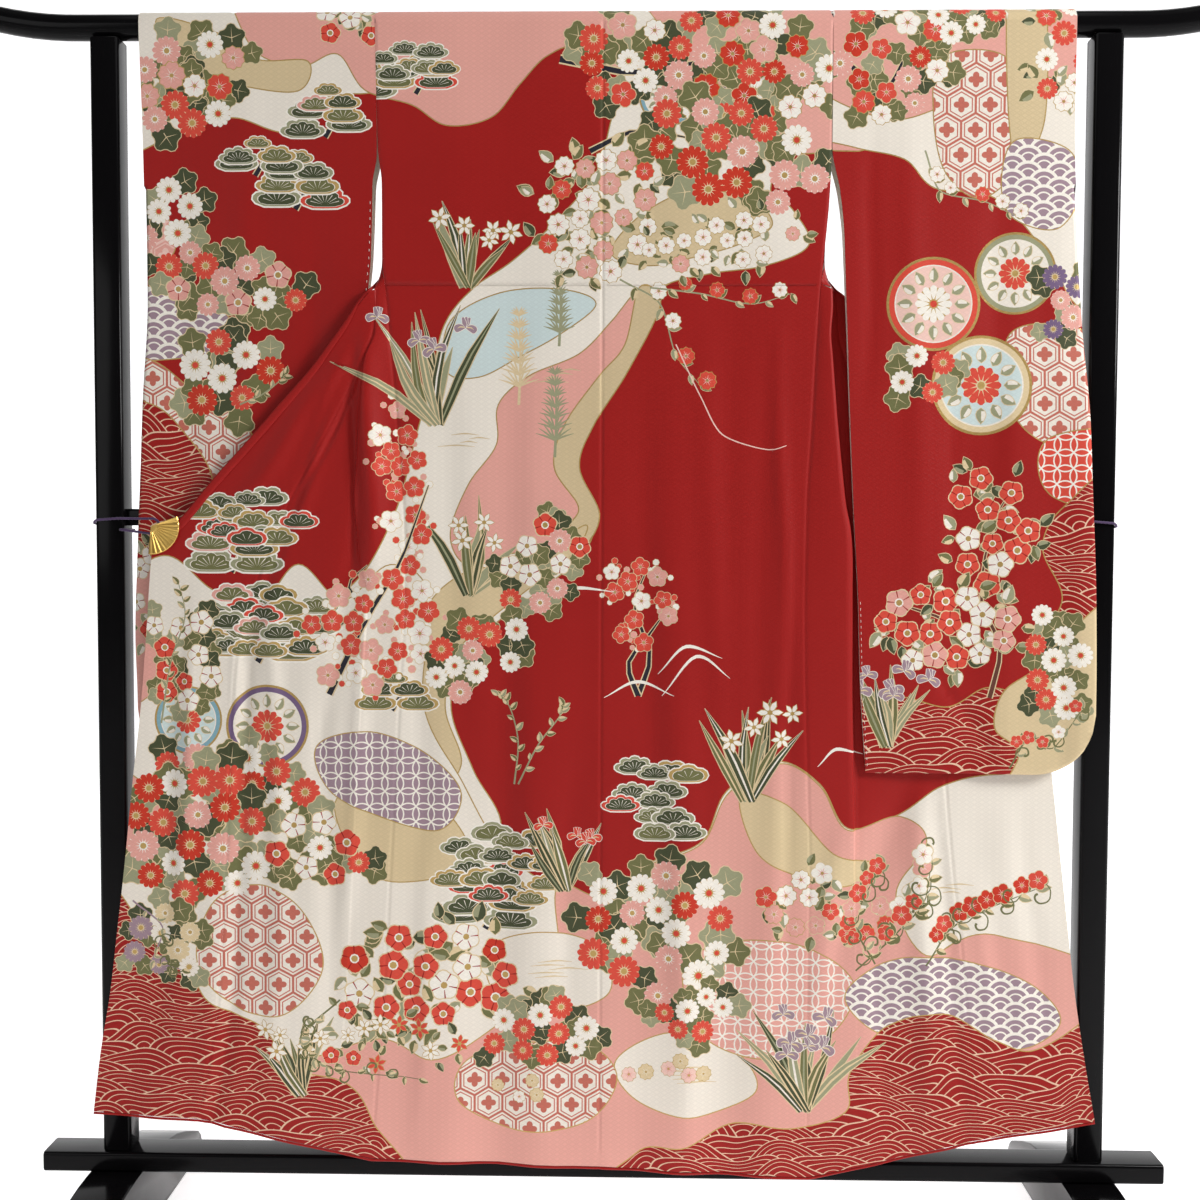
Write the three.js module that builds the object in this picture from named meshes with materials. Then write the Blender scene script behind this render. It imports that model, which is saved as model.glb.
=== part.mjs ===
// A furisode (long-sleeved kimono) hung over the top bar of a lacquered kimono stand, seen from
// its back, with both fronts opened outward and held by a fan-shaped clip at each side.
// Millimetres, +Z up, X along the bar, -Y towards the viewer, the origin on the floor.
import * as THREE from 'three';

// ------------------------------------------------------------------ sizes
const CLOTH = 1.6; // wall of the silk with its lining
const SEAM = 0.4; // space between two cloth pieces at a seam
const BAR_Z = 1745; // height of the top bar's axis
const BAR_R = 18; // radius of the top bar
const LAP_R = 19.3; // radius of the cloth's middle surface where it lies over the bar
const LAP_STEPS = 8; // steps of the cloth over the bar
const POST_X = 705; // middle of each post
const POST_W = 41; // side of a post
const BEAM_Z = 96; // underside of the base beam, on the feet
const BEAM_H = 29; // height of the base beam
const FOOT_HALF = 38; // half width of a foot
const COLLAR_WALL = 1.2; // one layer of the folded collar
const COLLAR_LAP = 9; // how far the collar shows on the outside of the front edge
const CLIP_R = 40; // length of the clip's fan
const CORD_R = 1.9; // radius of the purple cord
const ROLL_R = 1.6; // radius of the lining's roll at the hem
const NECK_HALF = 84; // half width of the neck opening

// ------------------------------------------------------------------ helpers
const V = (x, y, z) => new THREE.Vector3(x, y, z);
const lerp = (a, b, t) => a + (b - a) * t;
const clamp01 = (t) => Math.min(1, Math.max(0, t));
const ease = (a, b, x) => {
  const t = clamp01((x - a) / (b - a));
  return t * t * (3 - 2 * t);
};

// Value at x of a table of [x, value] pairs in rising order of x, smooth and without overshoot.
function curve(table) {
  const n = table.length;
  const step = (i) => (table[i + 1][1] - table[i][1]) / (table[i + 1][0] - table[i][0]);
  const slope = table.map((_, i) => {
    if (i === 0) return step(0);
    if (i === n - 1) return step(n - 2);
    const [a, b] = [step(i - 1), step(i)];
    return a * b <= 0 ? 0 : (2 * a * b) / (a + b);
  });
  return (x) => {
    let i = 0;
    while (i < n - 2 && x > table[i + 1][0]) i++;
    const h = table[i + 1][0] - table[i][0];
    const t = clamp01((x - table[i][0]) / h);
    const [p, q] = [table[i][1], table[i + 1][1]];
    return p * (1 + 2 * t) * (1 - t) ** 2 + q * t * t * (3 - 2 * t)
      + h * (slope[i] * t * (1 - t) ** 2 - slope[i + 1] * t * t * (1 - t));
  };
}

const group = new THREE.Group();
function add(name, points, faces, color, metal = 0, rough = 0.8) {
  const geometry = new THREE.BufferGeometry();
  geometry.setAttribute('position', new THREE.Float32BufferAttribute(points.flatMap((p) => p.toArray()), 3));
  geometry.setIndex(faces.flat());
  geometry.computeVertexNormals();
  const material = new THREE.MeshStandardMaterial({ color, metalness: metal, roughness: rough });
  material.side = THREE.FrontSide;
  const mesh = new THREE.Mesh(geometry, material);
  mesh.name = name;
  group.add(mesh);
}

// Signed volume, so that a body is turned to face outward.
function outward(points, faces) {
  let volume = 0;
  for (const [a, b, c] of faces) volume += points[a].dot(V().crossVectors(points[b], points[c]));
  return volume < 0 ? faces.map(([a, b, c]) => [a, c, b]) : faces;
}

// A body lofted through closed rings of equal count, with flat ends unless it closes on itself.
function loft(name, rings, color, { closed = false, metal = 0, rough = 0.8 } = {}) {
  const n = rings[0].length;
  const faces = [];
  const last = closed ? rings.length : rings.length - 1;
  for (let i = 0; i < last; i++) {
    const [a, b] = [i * n, ((i + 1) % rings.length) * n];
    for (let k = 0; k < n; k++) {
      const l = (k + 1) % n;
      faces.push([a + k, a + l, b + l], [a + k, b + l, b + k]);
    }
  }
  if (!closed) {
    for (const [i, turn] of [[0, false], [rings.length - 1, true]]) {
      const ring = rings[i];
      const [o, e1] = [ring[0], V().subVectors(ring[1], ring[0]).normalize()];
      const normal = V(0, 0, 0);
      for (let k = 0; k < n; k++) normal.add(V().crossVectors(ring[k], ring[(k + 1) % n]));
      normal.normalize();
      const e2 = V().crossVectors(normal, e1);
      const flat = ring.map((p) => {
        const d = V().subVectors(p, o);
        return new THREE.Vector2(d.dot(e1), d.dot(e2));
      });
      for (const t of THREE.ShapeUtils.triangulateShape(flat, [])) {
        const f = t.map((k) => i * n + k);
        faces.push(turn ? f : [f[0], f[2], f[1]]);
      }
    }
  }
  const points = rings.flat();
  add(name, points, outward(points, faces), color, metal, rough);
}

// A rounded rectangle of 12 points, half sizes a and b, about the origin.
function roundRect(a, b, r) {
  const out = [];
  for (const [sx, sy, from] of [[1, 1, 0], [-1, 1, 90], [-1, -1, 180], [1, -1, 270]]) {
    for (const w of [0, 45, 90]) {
      const t = ((from + w) * Math.PI) / 180;
      out.push([sx * (a - r) + r * Math.cos(t), sy * (b - r) + r * Math.sin(t)]);
    }
  }
  return out;
}
const circle = (r, n) => Array.from({ length: n }, (_, k) => [
  r * Math.cos((2 * Math.PI * (k + 0.5)) / n), r * Math.sin((2 * Math.PI * (k + 0.5)) / n)]);

// A cloth piece from a grid of middle points, grid[row][column], one wall thick. On the columns
// where seam(row, column) is true the wall stands straight in the YZ plane, so that the two
// pieces of a seam keep an even space.
function cloth(name, grid, color, seam = () => false) {
  const [m, n] = [grid.length, grid[0].length];
  const at = (i, j) => grid[Math.min(m - 1, Math.max(0, i))][Math.min(n - 1, Math.max(0, j))];
  const [front, back] = [[], []];
  for (let i = 0; i < m; i++) {
    for (let j = 0; j < n; j++) {
      const down = V().subVectors(at(i + 1, j), at(i - 1, j));
      const across = V().subVectors(at(i, j + 1), at(i, j - 1));
      const normal = V().crossVectors(down, across).normalize();
      if (seam(i, j)) normal.setX(0).normalize();
      front.push(at(i, j).clone().addScaledVector(normal, CLOTH / 2));
      back.push(at(i, j).clone().addScaledVector(normal, -CLOTH / 2));
    }
  }
  const N = m * n;
  const faces = [];
  const quad = (a, b, c, d) => faces.push([a, b, c], [a, c, d]);
  for (let i = 0; i < m - 1; i++) {
    for (let j = 0; j < n - 1; j++) {
      const [a, b, c, d] = [i * n + j, i * n + j + 1, (i + 1) * n + j + 1, (i + 1) * n + j];
      quad(a, b, c, d);
      quad(N + a, N + d, N + c, N + b);
    }
  }
  const rim = [];
  for (let j = 0; j < n; j++) rim.push(j);
  for (let i = 1; i < m; i++) rim.push(i * n + n - 1);
  for (let j = n - 2; j >= 0; j--) rim.push((m - 1) * n + j);
  for (let i = m - 2; i > 0; i--) rim.push(i * n);
  rim.forEach((a, k) => {
    const b = rim[(k + 1) % rim.length];
    quad(b, a, N + a, N + b);
  });
  const points = [...front, ...back];
  add(name, points, outward(points, faces), color);
}

// ------------------------------------------------------------------ the stand
const LACQUER = 0x111013;

function beamAlongX(name, x0, x1, section, ease0 = 1.5) {
  const ring = (x, k) => section.map(([y, z]) => V(x, y * k, z));
  const mid = section.reduce((s, p) => s + p[1], 0) / section.length;
  const shrink = (x, k) => ring(x, k).map((p) => V(p.x, p.y, mid + (p.z - mid) * k));
  loft(name, [shrink(x0, 0.92), ring(x0 + ease0, 1), ring(x1 - ease0, 1), shrink(x1, 0.92)],
    LACQUER, { rough: 0.2 });
}

// The top bar is round and straight over the posts; its two ends sweep gently up.
function topBar() {
  const lift = (x) => Math.max(0, Math.abs(x) - 750) ** 2 / 1000;
  const xs = [-780, -750, -400, 0, 400, 750, 780, 815, 850, 885, 912];
  const all = [...xs.filter((x) => x > 780).reverse().map((x) => -x), ...xs];
  const rings = all.map((x) => circle(BAR_R, 24).map(([y, z]) => V(x, y, BAR_Z + lift(x) + z)));
  for (const s of [-1, 1]) {
    for (const [dx, k] of [[5, 0.86], [8, 0.5]]) {
      const x = s * (912 + dx);
      const ring = circle(BAR_R * k, 24).map(([y, z]) => V(x, y, BAR_Z + lift(x) + z));
      if (s < 0) rings.unshift(ring);
      else rings.push(ring);
    }
  }
  loft('top_bar', rings, LACQUER, { rough: 0.2 });
}
topBar();

for (const [side, s] of [['left', -1], ['right', 1]]) {
  const ring = (z, k) => roundRect((POST_W / 2) * k, (POST_W / 2) * k, 5 * k)
    .map(([x, y]) => V(s * POST_X + x, y, z));
  const [z0, z1] = [BEAM_Z + BEAM_H + 0.3, BAR_Z - BAR_R - 0.4];
  loft(`post_${side}`, [ring(z0, 0.95), ring(z0 + 1, 1), ring(z1 - 2, 1), ring(z1, 0.9)],
    LACQUER, { rough: 0.2 });
}
beamAlongX('crossbar', -POST_X + POST_W / 2 + 0.3, POST_X - POST_W / 2 - 0.3,
  roundRect(9, 12, 4).map(([y, z]) => [y, z + 1050]), 0.5);
beamAlongX('base_beam', -811, 811,
  roundRect(27, BEAM_H / 2, 4).map(([y, z]) => [y, z + BEAM_Z + 0.3 + (BEAM_H - 0.3) / 2]));

// Half of a foot's outline as [y, z]: a low arch below, a long drawn-out toe above.
const FOOT_HALF_OUTLINE = [
  [0, 9], [34, 8], [60, 0], [250, 0], [262, 4], [267, 14], [262, 28], [247, 41],
  [222, 52], [184, 67], [140, 82], [100, 91], [64, 95], [40, 96],
];
for (const [side, s] of [['left', -1], ['right', 1]]) {
  const outline = [...FOOT_HALF_OUTLINE,
    ...FOOT_HALF_OUTLINE.slice(1).reverse().map(([y, z]) => [-y, z])];
  const ring = (x, inset) => outline.map(([y, z]) => V(s * POST_X + x,
    y * (1 - inset / 267), z === 0 ? inset * 0.8 : z - inset * Math.sign(z - 45)));
  loft(`foot_${side}`, [ring(-FOOT_HALF, 2.5), ring(-FOOT_HALF + 2.5, 0),
    ring(FOOT_HALF - 2.5, 0), ring(FOOT_HALF, 2.5)], LACQUER, { rough: 0.2 });
}

// ------------------------------------------------------------------ the garment's lines
// Side seam and armhole edge of the back: x over z, left as a negative x.
const SIDE_X = {
  left: curve([[100, -331], [245, -320], [356, -311], [440, -306], [550, -300], [661, -294],
    [826, -285], [934, -280], [1004, -279], [1093, -283], [1161, -288], [1228, -293],
    [1295, -299], [1362, -305], [1417, -311], [1524, -312], [1566, -317], [1762, -321.5]]),
  right: curve([[100, 301], [278, 297], [416, 298], [544, 299], [675, 295], [831, 290],
    [940, 288.5], [1074, 290], [1182, 296], [1304, 302], [1421, 311], [1499, 318],
    [1576, 321], [1762, 321.5]]),
};
// How far the near layer stands from the bar's plane, at the centre seam.
const BACK_Y = curve([[100, -36], [300, -33], [600, -29], [1050, -25.5], [1392, -22.5],
  [1566, -20.6], [1745, -LAP_R]]);
// The far layer of a shoulder, where front and sleeve are joined.
const FAR_Y = curve([[1566, 13], [1625, 16.6], [1668, 18.4], [1704, 19.2], [1745, LAP_R]]);

// The opened fronts, row by row from the armpit to the hem. sz, sy: side seam; ox, oz, oy: seam
// of the front and its overlap panel; ex, ez, ey: free front edge; at, up, by: the pleat that
// fans out of the armpit, as its share of the width, its height and the depth behind it.
const COLUMNS = ['sz', 'sy', 'ox', 'oz', 'oy', 'ex', 'ez', 'ey', 'at', 'up', 'by'];
const named = (rows) => rows.map((r) => Object.fromEntries(COLUMNS.map((c, i) => [c, r[i]])));
const FAN = {
  left: named([
    [1379, -25.2, -321.5, 1371, -28.5, -327.5, 1369, -30, 0.90, 1.5, -27],
    [1350, -26.0, -321, 1348, -29.6, -341, 1352, -31, 0.90, 3, -29],
    [1313, -26.8, -323, 1313, -31, -362, 1323, -32, 0.90, 4.5, -30],
    [1278, -27.4, -337, 1278, -32, -385, 1291, -33, 0.87, 6, -31],
    [1243, -28.0, -352, 1243, -32.5, -408, 1260, -33, 0.72, 7, -31],
    [1187, -28.8, -379, 1187, -33, -455, 1207, -34, 0.57, 8, -31],
    [1131, -29.5, -410, 1131, -33.5, -500, 1156, -34.5, 0.476, 8.5, -31.5],
    [1077, -30.0, -440, 1077, -34, -549, 1102, -35, 0.42, 8, -32],
    [1034, -30.4, -458, 1034, -34.5, -600, 1042, -35.5, 0.367, 7, -32],
    [1000, -30.8, -472, 1000, -35, -636, 1011, -36, 0.326, 5, -33],
    [954, -31.0, -492, 954, -35, -643, 950, -35.5, 0.25, 2.5, -33],
    [900, -31.4, -512, 902, -35, -647, 897, -35, 0.22, 0, -33],
    [785, -32.2, -525, 790, -35, -656, 790, -35, 0.22, 0, -33],
    [662, -33.2, -531, 668, -35.5, -670, 669, -36, 0.22, 0, -34],
    [540, -34.4, -536, 548, -36, -683, 546, -37, 0.22, 0, -35],
    [440, -35.4, -541, 460, -36.5, -694, 456, -37.5, 0.22, 0, -36],
    [330, -36.4, -547, 370, -37, -705, 366, -38, 0.22, 0, -37],
    [226, -37.4, -560, 276, -38, -720, 277, -39, 0.22, 0, -38],
    [127, -38.0, -580, 183, -40, -730, 193, -41, 0.22, 0, -39],
  ]),
  right: named([
    [1379, -24.2, 331, 1372, 1.5, 337, 1369, 0.5, 0.60, 1, -6],
    [1350, -25.0, 333, 1348, -3, 350, 1352, -2.5, 0.62, 2, -8],
    [1313, -25.6, 335, 1313, -5.5, 366, 1323, -5, 0.54, 3, -8],
    [1278, -26.0, 344, 1278, -7, 388, 1292, -6.5, 0.51, 3.5, -9],
    [1243, -26.4, 356, 1243, -8.5, 410, 1261, -8, 0.465, 4, -10],
    [1187, -27.0, 381, 1187, -10, 455, 1208, -9.5, 0.40, 4.5, -11],
    [1131, -27.6, 408, 1131, -11.3, 497, 1157, -11.5, 0.374, 5, -12],
    [1077, -28.0, 430, 1077, -12.2, 540, 1100, -13.5, 0.371, 5, -12.6],
    [1034, -28.4, 445, 1034, -12.8, 583, 1042, -16, 0.39, 5, -13],
    [1000, -28.7, 455, 1000, -13.2, 612, 1011, -16.5, 0.385, 4.5, -13.5],
    [954, -29.0, 465, 954, -13.5, 616, 950, -16, 0.367, 4, -14.5],
    [900, -29.2, 475, 902, -14, 620, 897, -16, 0.35, 3, -16],
    [785, -29.6, 485, 790, -15.5, 632, 790, -16.5, 0.33, 1.5, -17],
    [662, -30.5, 493, 668, -18.6, 645, 669, -18.5, 0.32, 1, -20],
    [540, -31.5, 504, 548, -23, 659, 546, -21, 0.3, 0, -28],
    [440, -32.3, 514, 465, -27.5, 668, 462, -24.5, 0.3, 0, -31],
    [330, -33.0, 522, 381, -30, 678, 377, -27, 0.3, 0, -32],
    [222, -34.0, 533, 275, -32.5, 694, 272, -31, 0.3, 0, -33],
    [106, -35.0, 545, 163, -35, 708, 192, -34, 0.3, 0, -35],
  ]),
};

// The shoulder part of a front, on the far side of the bar, from the neck to the armpit: it
// narrows, turns over and comes out again as the opened front. b is the outer edge, a the inner.
const SHOULDER_COLUMNS = ['bx', 'by', 'bz', 'ax', 'ay', 'az'];
const shoulderRows = (rows) => rows.map((r) => Object.fromEntries(
  SHOULDER_COLUMNS.map((c, i) => [c, r[i]])));
const SHOULDER = {
  left: shoulderRows([
    [-321.3, 19.2, 1700, -48, 19.2, 1698],
    [-321.1, 19.1, 1692, -74, 19.2, 1689],
    [-320.8, 18.4, 1668, -112, 19, 1660],
    [-319.6, 16.6, 1625, -150, 17.6, 1608],
    [-317.8, 13.4, 1572, -188, 16.2, 1556],
    [-316, 6, 1530, -226, 14, 1505],
    [-314, -2, 1490, -256, 11.5, 1464],
    [-312.8, -9, 1456, -283, 8.5, 1428],
    [-311.6, -15.5, 1430, -304, 5.5, 1405],
    [-311.2, -20, 1414, -314.5, 1, 1394],
    [-310.8, -23.2, 1402, -319, -8, 1386],
    [-308.8, -24.6, 1390, -321, -19, 1379],
  ]),
  right: shoulderRows([
    [321.3, 19.2, 1700, 48, 19.2, 1698],
    [321.3, 19.1, 1692, 74, 19.2, 1689],
    [321.3, 18.4, 1668, 112, 19, 1660],
    [321.1, 16.6, 1625, 150, 17.8, 1608],
    [320.7, 13.4, 1572, 188, 17, 1556],
    [318.5, 6, 1530, 226, 15.5, 1505],
    [316.5, -2, 1490, 256, 14, 1464],
    [314.5, -9, 1456, 283, 12, 1428],
    [312.5, -15.5, 1430, 304, 10, 1405],
    [311.5, -20, 1414, 316, 8, 1394],
    [310.6, -22.6, 1402, 322, 6, 1386],
    [308, -23.6, 1390, 327, 4, 1379],
  ]),
};

const ROWS_NEAR = [1402, 1430, 1470, 1520, 1566, 1625, 1668, 1704]; // back rows above the armpit
const COLS = 10; // columns of a body piece
const OKUMI_COLS = 5;

// Soft standing folds of the back, deepening towards the hem.
function backFold(s, f, z) {
  const depth = lerp(5, 0.6, ease(150, 1500, z));
  return depth * Math.sin(Math.PI * f)
    * Math.cos(2 * Math.PI * (2.1 * f + 0.15 * s + 0.05 * Math.sin(z / 260)));
}
// Folds of an opened front beyond its pleat: f runs from the side seam to the overlap's seam.
function fanFold(s, f, z) {
  const low = s < 0 ? ease(1050, 700, z) : ease(700, 540, z);
  const valley = s < 0 ? lerp(3.6, 4.4, low) : lerp(0.6, 3, low);
  const armpit = ease(1330, 1200, z);
  return valley * armpit * Math.exp(-(((f - 0.92) / 0.05) ** 2))
    + 3 * low * Math.sin(Math.PI * clamp01((f - 0.25) / 0.6)) * Math.cos(9 * f + s);
}
const okumiFold = (s, f, z) => 2.6 * (s < 0 ? ease(980, 700, z) : ease(700, 540, z))
  * Math.sin(Math.PI * f) * Math.cos(6.5 * f - s);

// Shares of the width at which an opened front has its columns, close together at the pleat.
function fanShares(row, width) {
  const step = Math.min(4 / width, (1 - row.at) / 2);
  const rest = 1 - row.at - step;
  return [0, row.at / 3, (2 * row.at) / 3, row.at, row.at + step,
    ...[0.22, 0.45, 0.68, 0.86, 0.94, 1].map((t) => Math.min(1, row.at + step + rest * t))];
}

function fanRow(s, row) {
  const side = s < 0 ? 'left' : 'right';
  const b = V(SIDE_X[side](row.sz) + s * (SEAM / 2), row.sy, row.sz);
  const a = V(row.ox - s * (SEAM / 2), row.oy, row.oz);
  const width = Math.max(12, Math.abs(a.x - b.x));
  const shares = fanShares(row, width);
  return shares.map((f, j) => {
    const p = b.clone().lerp(a, f);
    const beyond = clamp01((f - row.at) / Math.max(0.02, 1 - row.at));
    const y = j < 4 ? b.y - row.up * Math.sin((Math.PI / 2) * (f / row.at)) : lerp(row.by, a.y, beyond);
    const fold = j === 0 || j === COLS ? 0 : fanFold(s, f, p.z) * (j < 4 ? 0 : 1);
    return V(p.x, y + fold, p.z);
  });
}

// The back hem runs from its height at the side seam to this height at the centre seam.
const HEM_CENTRE = 118;
const hemSlant = (side, z) => (HEM_CENTRE - FAN[side][FAN[side].length - 1].sz) * ease(440, 110, z);

// One body piece: a single width of cloth from the back hem, over the bar, to the front hem.
function body(side, s, color) {
  const edge = (z) => SIDE_X[side](z) - s * (SEAM / 2);
  const grid = [];
  const shares = Array.from({ length: COLS + 1 }, (_, j) => j / COLS);
  const nearRow = (z, y, slope) => shares.map((f) => {
    const x = lerp(edge(z), s * (SEAM / 2), f);
    const zz = z + slope * f;
    return V(x, lerp(y, BACK_Y(zz), Math.min(1, f * 2.5)) + backFold(s, f, zz), zz);
  });
  const fan = FAN[side];
  for (const r of [...fan].reverse()) grid.push(nearRow(r.sz, r.sy, hemSlant(side, r.sz)));
  for (const z of ROWS_NEAR) {
    const y = z < 1450 ? lerp(-24.2, BACK_Y(z), ease(1395, 1500, z)) : BACK_Y(z);
    grid.push(nearRow(z, y, 0));
  }
  for (let k = 0; k <= LAP_STEPS; k++) {
    const t = Math.PI * (1 - k / LAP_STEPS);
    const z = BAR_Z + LAP_R * Math.sin(t);
    grid.push(shares.map((f) => V(lerp(edge(BAR_Z), s * (SEAM / 2), f), LAP_R * Math.cos(t), z)));
  }
  const joined = (z) => z > 1560;
  for (const z of [1722, 1705]) {
    grid.push(shares.map((f) => V(lerp(edge(z), s * (SEAM / 2), f), FAR_Y(z), z)));
  }
  for (const r of SHOULDER[side]) {
    const b = V(joined(r.bz) ? edge(r.bz) : r.bx, r.by, r.bz);
    grid.push(shares.map((f) => b.clone().lerp(V(r.ax, r.ay, r.az), f)));
  }
  for (const r of fan) grid.push(fanRow(s, r));
  const first = fan.length; // rows of the back below the armpit
  const lastFan = grid.length - fan.length;
  cloth(`body_${side}`, grid, color, (i, j) => (j === 0 && (i < first || grid[i][0].z > 1560
    || i > lastFan)) || (j === COLS && (i < lastFan - SHOULDER[side].length || i >= lastFan)));
}

// The overlap panel (okumi) along the free edge of a front.
function okumiGrid(s) {
  const f = [0, 0.16, 0.4, 0.64, 0.86, 1];
  return FAN[s < 0 ? 'left' : 'right'].map((r, i) => {
    const a = V(r.ox + s * (i < 3 ? SEAM * 1.5 : SEAM / 2), r.oy, r.oz);
    const e = V(r.ex, r.ey, r.ez);
    return f.map((t) => {
      const p = a.clone().lerp(e, t);
      return V(p.x, p.y + okumiFold(s, t, p.z), p.z);
    });
  });
}

const RED = 0xa8202a;
for (const [side, s] of [['left', -1], ['right', 1]]) {
  body(side, s, RED);
  cloth(`okumi_${side}`, okumiGrid(s), RED, (i, j) => j === 0);
}

// ------------------------------------------------------------------ the sleeves
// Each sleeve is one width folded over the bar: a flat bag, closed at the bottom and below the
// cuff opening, open along its inner edge below the armhole.
const SLEEVE = {
  left: {
    outer: curve([[690, -667], [802, -668], [874, -670], [989, -666], [1117, -660], [1216, -656],
      [1357, -648], [1568, -650], [1762, -656]]),
    inner: curve([[690, -345], [1000, -338], [1300, -335], [1370, -332], [1414, -328],
      [1470, -326], [1520, -325], [1562, -318.5], [1762, -321.5]]),
    near: curve([[690, -18], [1050, -19], [1392, -19.4], [1566, -20.6], [1745, -LAP_R]]),
    far: curve([[690, -13.5], [1050, -12.3], [1200, -9], [1392, -1], [1500, 7], [1566, 13],
      [1625, 16.6], [1668, 18.4], [1704, 19.2], [1745, LAP_R]]),
  },
  right: {
    outer: curve([[690, 697], [810, 697], [937, 695], [1106, 687], [1190, 683], [1329, 673],
      [1426, 666], [1605, 658], [1762, 659]]),
    inner: curve([[690, 377], [823, 368], [936, 364], [1049, 357], [1189, 350], [1315, 345],
      [1380, 342], [1453, 339], [1508, 333], [1570, 321.3], [1762, 321.5]]),
    near: curve([[690, -27.5], [800, -26.4], [900, -25.4], [1000, -24.8], [1100, -24.4],
      [1200, -23.7], [1392, -22], [1566, -20.6], [1745, -LAP_R]]),
    far: curve([[690, -23], [800, -21.4], [900, -20], [1000, -18.6], [1100, -17.4], [1200, -14.4],
      [1300, -10.2], [1392, -5.5], [1440, -1], [1500, 5.5], [1566, 13], [1625, 16.6],
      [1668, 18.4], [1704, 19.2], [1745, LAP_R]]),
  },
};
const SLEEVE_BOTTOM = 690;
const SLEEVE_CORNER = 85; // radius of the outer bottom corner
const CUFF_DROP = 230; // the cuff opening, down from the bar

// The right sleeve lies in front of the clip, the cord and the post and is pushed forward there.
const push = (s, x, z) => (s < 0 ? 0 : -(8.2 * ease(510, 580, x) + 4.5 * ease(645, 680, x))
  * ease(1330, 1180, z));
function sleeveFold(s, f, z) {
  const low = ease(1500, 760, z);
  return 2.2 * low * Math.sin(Math.PI * clamp01(f * 1.05)) * Math.cos(7.5 * f + 1.2 * s);
}

function sleeve(side, s, color) {
  const line = SLEEVE[side];
  const fs = [0, 0.1, 0.22, 0.36, 0.5, 0.64, 0.76, 0.86, 0.93, 0.975, 1];
  const levels = [1705, 1668, 1625, 1580, 1530, 1500, 1440, 1392, 1320, 1240, 1160, 1080, 1000,
    910, 820, 760, 720];
  const r = SLEEVE_CORNER;
  const rings = fs.map((f) => {
    // the bottom line rises round the corner towards the outer edge
    const over = Math.max(0, f * 325 - (325 - r));
    const bottom = SLEEVE_BOTTOM + r - Math.sqrt(Math.max(0, r * r - over * over));
    const squeeze = (z) => (z > 1392 ? z : lerp(bottom, 1392, (z - SLEEVE_BOTTOM) / (1392 - SLEEVE_BOTTOM)));
    const place = (z0, layer) => {
      const z = squeeze(z0);
      const x = lerp(line.inner(z) + s * (SEAM / 2), line.outer(z), f);
      const y = layer(z) + push(s, x, z) + sleeveFold(s, f, z);
      return V(x, y, z);
    };
    const ring = [];
    for (let k = 0; k <= LAP_STEPS; k++) {
      const t = Math.PI * (1 - k / LAP_STEPS);
      ring.push(V(lerp(line.inner(BAR_Z) + s * (SEAM / 2), line.outer(BAR_Z), f),
        LAP_R * Math.cos(t), BAR_Z + LAP_R * Math.sin(t)));
    }
    for (const z of levels) ring.push(place(z, line.far));
    const [low, high] = [place(SLEEVE_BOTTOM + 6, line.far), place(SLEEVE_BOTTOM + 6, line.near)];
    ring.push(low);
    ring.push(V((low.x + high.x) / 2, (low.y + high.y) / 2, bottom));
    ring.push(high);
    for (const z of [...levels].reverse()) ring.push(place(z, line.near));
    return ring;
  });
  tube(`sleeve_${side}`, rings, color, s);
}

// A one-wall tube through the rings. The last ring is sewn shut below the cuff opening: there
// the near and far layers of each face are joined across instead of wall to wall.
function tube(name, rings, color, s) {
  const [m, n] = [rings.length, rings[0].length];
  const [outerP, innerP] = [[], []];
  for (let i = 0; i < m; i++) {
    for (let k = 0; k < n; k++) {
      const [p, q] = [rings[i][(k + n - 1) % n], rings[i][(k + 1) % n]];
      const along = V().subVectors(q, p);
      const across = V().subVectors(rings[Math.min(m - 1, i + 1)][k], rings[Math.max(0, i - 1)][k]);
      const normal = V().crossVectors(across, along).multiplyScalar(-s).normalize();
      if (i === 0) normal.setX(0).normalize();
      outerP.push(rings[i][k].clone().addScaledVector(normal, CLOTH / 2));
      innerP.push(rings[i][k].clone().addScaledVector(normal, -CLOTH / 2));
    }
  }
  const N = m * n;
  const faces = [];
  const quad = (a, b, c, d) => faces.push([a, b, c], [a, c, d]);
  for (let i = 0; i < m - 1; i++) {
    for (let k = 0; k < n; k++) {
      const l = (k + 1) % n;
      quad(i * n + k, i * n + l, (i + 1) * n + l, (i + 1) * n + k);
      quad(N + i * n + k, N + (i + 1) * n + k, N + (i + 1) * n + l, N + i * n + l);
    }
  }
  for (let k = 0; k < n; k++) quad((k + 1) % n, k, N + k, N + ((k + 1) % n));
  // top of the bar is k = LAP_STEPS / 2; k and its partner lie at the same level
  const partner = (k) => (LAP_STEPS - k + n) % n;
  const last = (m - 1) * n;
  const bottom = (LAP_STEPS + n) / 2; // index of the lowest point
  let start = LAP_STEPS + 1;
  while (rings[m - 1][start].z > BAR_Z - CUFF_DROP) start++;
  for (let k = 0; k < n; k++) {
    const l = (k + 1) % n;
    const sewn = k >= start && l <= partner(start) && l !== 0;
    if (!sewn) quad(last + k, last + l, N + last + l, N + last + k);
  }
  for (let k = start; k < bottom; k++) {
    const [a, b, c, d] = [k, k + 1, partner(k + 1), partner(k)];
    if (b === c) {
      faces.push([last + a, last + b, last + d], [N + last + a, N + last + d, N + last + b]);
    } else {
      quad(last + a, last + b, last + c, last + d);
      quad(N + last + a, N + last + d, N + last + c, N + last + b);
    }
  }
  const [a, d] = [start, partner(start)];
  quad(last + a, last + d, N + last + d, N + last + a);
  const points = [...outerP, ...innerP];
  add(name, points, outward(points, faces), color);
}
for (const [side, s] of [['left', -1], ['right', 1]]) sleeve(side, s, RED);

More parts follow.
